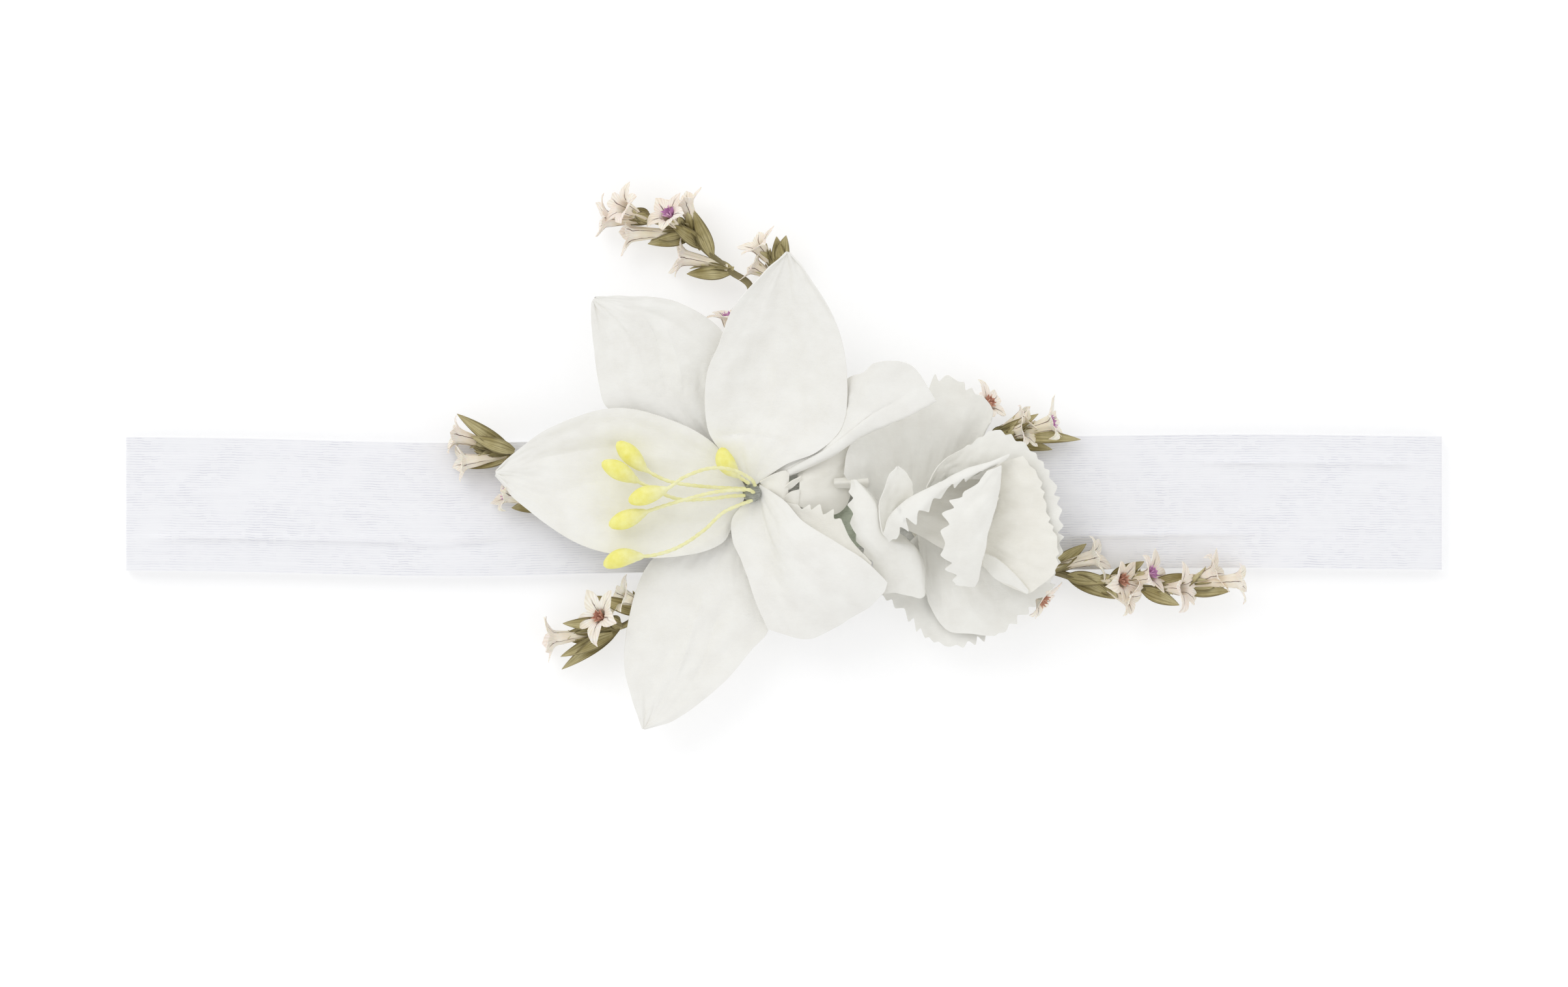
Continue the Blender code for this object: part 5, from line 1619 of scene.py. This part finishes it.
def sprig(name, centre, plan, seed):
    """One sprig from its plan: its stem's route, its florets and its leaves, in millimetres."""
    chance = random.Random(seed)
    foot = Vector((centre.x, centre.y, STEM_BED))
    bm = bmesh.new()
    flow = bm.loops.layers.uv.new("flow")
    route = in_metres(plan["stem"], foot)
    for start, mouth, radius, heart in plan["florets"]:
        start, mouth = in_metres([start, mouth], foot)
        add_floret(bm, flow, start, mouth, radius * MM, chance, 0)
        if heart:
            add_heart(bm, start, mouth, chance, heart)
        axis = mouth - start
        spin = chance.uniform(0, 2 * math.pi)
        for bract in range(BRACTS):
            angle = spin + bract * 1.3 + chance.uniform(-0.2, 0.2)
            out = frame_along(axis) @ Vector((math.cos(angle), math.sin(angle), 0))
            root = start - axis * 0.12 + out * 0.6 * MM
            share = chance.uniform(0.5, 0.78)
            tip = start + axis * share + out * (1.1 + 0.7 * share) * MM
            tip.z = max(tip.z, LOWEST_TIP)
            add_bract(bm, flow, root, tip, chance.uniform(*BRACT_WIDTHS) * MM, -out, chance, 1)
    for start, tip in plan["leaves"]:
        start, tip = in_metres([start, tip], foot)
        add_bract(bm, flow, start, tip, LEAF_WIDTH * MM, Vector((0, 0, 1)), chance, 1)
    bmesh.ops.recalc_face_normals(bm, faces=bm.faces)
    add_stem(bm, route)
    finishes = [CALYX, BRACT, BROWN_HEART, PINK_HEART]
    thicken(new_piece(name, bm, finishes, nodes=[name]), LEAF_THICKNESS)

# %% [markdown]
# ### Where the sprigs lie
# Statice has no two sprigs alike, so each has its own plan, in millimetres from its flower's foot: the
# route of its stem, then for each floret its foot, its mouth, its radius and the colour of its heart,
# and for each leaf its foot and tip.

# %% Sprigs round the lily
NONE, BROWN, PINK = 0, 2, 3
LILY_SPRIGS = {
    "statice_upper_left": {
        "stem": [(0.6, 8.4, 0), (0, 23, -0.3), (-0.3, 38.4, -0.6), (-4.1, 41.5, -0.6),
                 (-8.5, 45.2, -0.4), (-11.9, 48.3, -0.2), (-16.7, 50.4, -0.2), (-21, 51.2, -0.2)],
        "florets": [
            ((-19.5, 51.3, -0.2), (-28.6, 51.8, 0.2), 2.9, NONE),
            ((-19.5, 51, 0), (-25, 54, 4.2), 3.3, NONE),
            ((-13.5, 48.6, -0.3), (-24.2, 48.2, 0.2), 2.8, NONE),
            ((-13, 49.2, 0), (-16, 52.8, 4.4), 3.3, PINK),
            ((-9.8, 46.6, -0.2), (-13.4, 55, 1.8), 2.9, NONE),
            ((-4.6, 42, -0.6), (-14.4, 43.8, -0.4), 3.2, NONE),
        ],
        "leaves": [((-7.5, 44.3, -0.3), (-11, 53, 1)), ((-4, 41.3, -0.6), (-12.2, 41, -1.4)),
                   ((-11.5, 48, -0.4), (-19.5, 46.6, -0.2)), ((-9, 46, -0.2), (-15.5, 50.8, 1.6))],
    },
    "statice_top": {
        "stem": [(3.6, 8, 0), (4.6, 28, -0.3), (5.2, 43.5, -0.3)],
        "florets": [
            ((4.8, 42, -0.3), (0.8, 47.2, 1.6), 2.9, NONE),
            ((4.8, 40, -0.3), (-0.2, 42.9, -0.2), 2.6, NONE),
        ],
        "leaves": [((5.2, 43, -0.3), (6.4, 48.2, 0.4)), ((5.2, 42, -0.3), (4.6, 48, 0.6))],
    },
    "statice_behind_top_petal": {
        "stem": [(-3.2, 8, 0), (-3.6, 20, -0.4), (-3.4, 30, -0.4)],
        "florets": [((-3.4, 27, -0.4), (-4.4, 34, 0.8), 3.3, PINK)],
        "leaves": [],
    },
    "statice_left": {
        "stem": [(-8.6, 3.4, 0), (-24, 5.6, -0.2), (-44.9, 7.2, -0.2), (-49, 7.6, 0)],
        "florets": [
            ((-47, 8, 0), (-56.6, 10.6, 1.4), 2.8, NONE),
            ((-46, 7.2, 0), (-55.2, 6.0, 2.2), 2.9, NONE),
        ],
        "leaves": [((-45, 7.6, 0), (-55.2, 14.8, 0.6)), ((-45, 7.2, 0), (-53.9, 4.7, -0.4)),
                   ((-44.5, 7.8, 0.6), (-52.6, 10.6, 1.8))],
    },
    "statice_left_lower": {
        "stem": [(-8.4, -1.6, 0), (-26, -3, -0.2), (-41, -1.4, -0.2)],
        "florets": [((-39, -2, -0.2), (-47, 0.2, 1.8), 2.7, PINK)],
        "leaves": [((-38, -2, -0.2), (-45, -2.8, -0.4))],
    },
    "statice_lower_left": {
        "stem": [(-6.2, -6, 0), (-15, -15.5, -0.4), (-23.2, -24.4, -0.8), (-32.5, -26, -0.8)],
        "florets": [
            ((-28.5, -26, -0.6), (-38.6, -27.2, 0), 3.6, NONE),
            ((-25, -24.8, -0.2), (-29.2, -22.8, 4.4), 3.9, BROWN),
            ((-19, -21, -0.6), (-25, -18.8, 1.6), 3.3, NONE),
        ],
        "leaves": [((-25, -25.2, -0.8), (-35.6, -33.0, -0.6)), ((-20, -22.6, -0.2), (-29.6, -19.3, 0.4)),
                   ((-26, -24.6, 0.6), (-35.4, -24.4, 1.4)), ((-26, -26.4, -0.2), (-35.8, -30.6, -0.4))],
    },
}

# %% Sprigs round the carnation
CARNATION_SPRIGS = {
    "statice_right_upper": {
        "stem": [(3.5, 9.6, 0), (6, 12.5, -0.1), (9.5, 14.6, -0.1), (14, 15.4, 0)],
        "florets": [
            ((8.5, 14.4, 0), (15, 16, 3.4), 3.0, NONE),
            ((12, 15, 0), (20.2, 17.6, 1.8), 2.9, PINK),
            ((8.2, 14.6, 0.4), (14.8, 18.4, 1.0), 2.2, NONE),
        ],
        "leaves": [((10, 15.2, 0), (24.5, 14, -0.2)), ((9, 14.4, 0), (19.2, 12.1, -0.4)),
                   ((7, 13.4, 0.4), (16.6, 18.8, 0.8)), ((7, 13, 0.8), (14.6, 16.4, 1.6))],
    },
    "statice_top_right": {
        "stem": [(-2.5, 10.4, 0), (1.5, 16, -0.2), (5.2, 20.8, -0.2)],
        "florets": [((3.6, 18.6, -0.2), (8.0, 21.4, 2.6), 3.2, BROWN)],
        "leaves": [((3.6, 18.6, -0.2), (6.4, 22.4, 0.6))],
    },
    "statice_right_lower": {
        "stem": [(9.6, -4.6, 0), (15, -8.4, -0.1), (19.3, -10.5, 0), (24.9, -12.2, 0),
                 (30, -12.6, 0), (36.1, -13.7, 0), (43.6, -14, 0), (50, -12.5, 0.3)],
        "florets": [
            ((19.5, -10, 0), (28.4, -7.6, 1.8), 3.2, NONE),
            ((28, -12.2, 0.2), (33.2, -12.2, 4.4), 3.3, BROWN),
            ((32, -12.6, 0.2), (38.8, -10.6, 3.8), 3.3, PINK),
            ((28, -12.8, 0), (34.8, -16.2, 2.2), 3.1, NONE),
            ((39, -13.9, 0.2), (44.8, -13.8, 3.8), 3.3, NONE),
            ((42, -13.6, 0.2), (50.6, -10.2, 2.0), 3.0, NONE),
            ((46, -13, 0.4), (55.4, -12.4, 1.8), 3.0, NONE),
        ],
        "leaves": [((18.5, -10.6, 0), (25.6, -5.5, 0.4)), ((22, -11.4, 0), (31, -15.8, -0.2)),
                   ((22, -11.6, 0.4), (30.5, -12.6, 1.2)), ((36, -14, 0), (43, -17, 0)),
                   ((44, -14, 0), (52.4, -14.4, 0.2)), ((38, -13.2, 0.6), (46, -11.4, 1.6)),
                   ((30, -12.2, 0.4), (36.4, -8.8, 1.0))],
    },
    "statice_lower_right": {
        "stem": [(7.4, -8, 0), (12.5, -12.4, -0.4), (15.8, -15.2, -0.8)],
        "florets": [((13.2, -13, -0.6), (18.2, -16.6, 0.8), 3.3, BROWN)],
        "leaves": [],
    },
}

# %% Make the sprigs
for number, (name, plan) in enumerate(LILY_SPRIGS.items()):
    sprig(name, LILY_FOOT, plan, 100 + number)
for number, (name, plan) in enumerate(CARNATION_SPRIGS.items()):
    sprig(name, CARNATION_FOOT, plan, 200 + number)
print("sprigs:", len(LILY_SPRIGS) + len(CARNATION_SPRIGS))
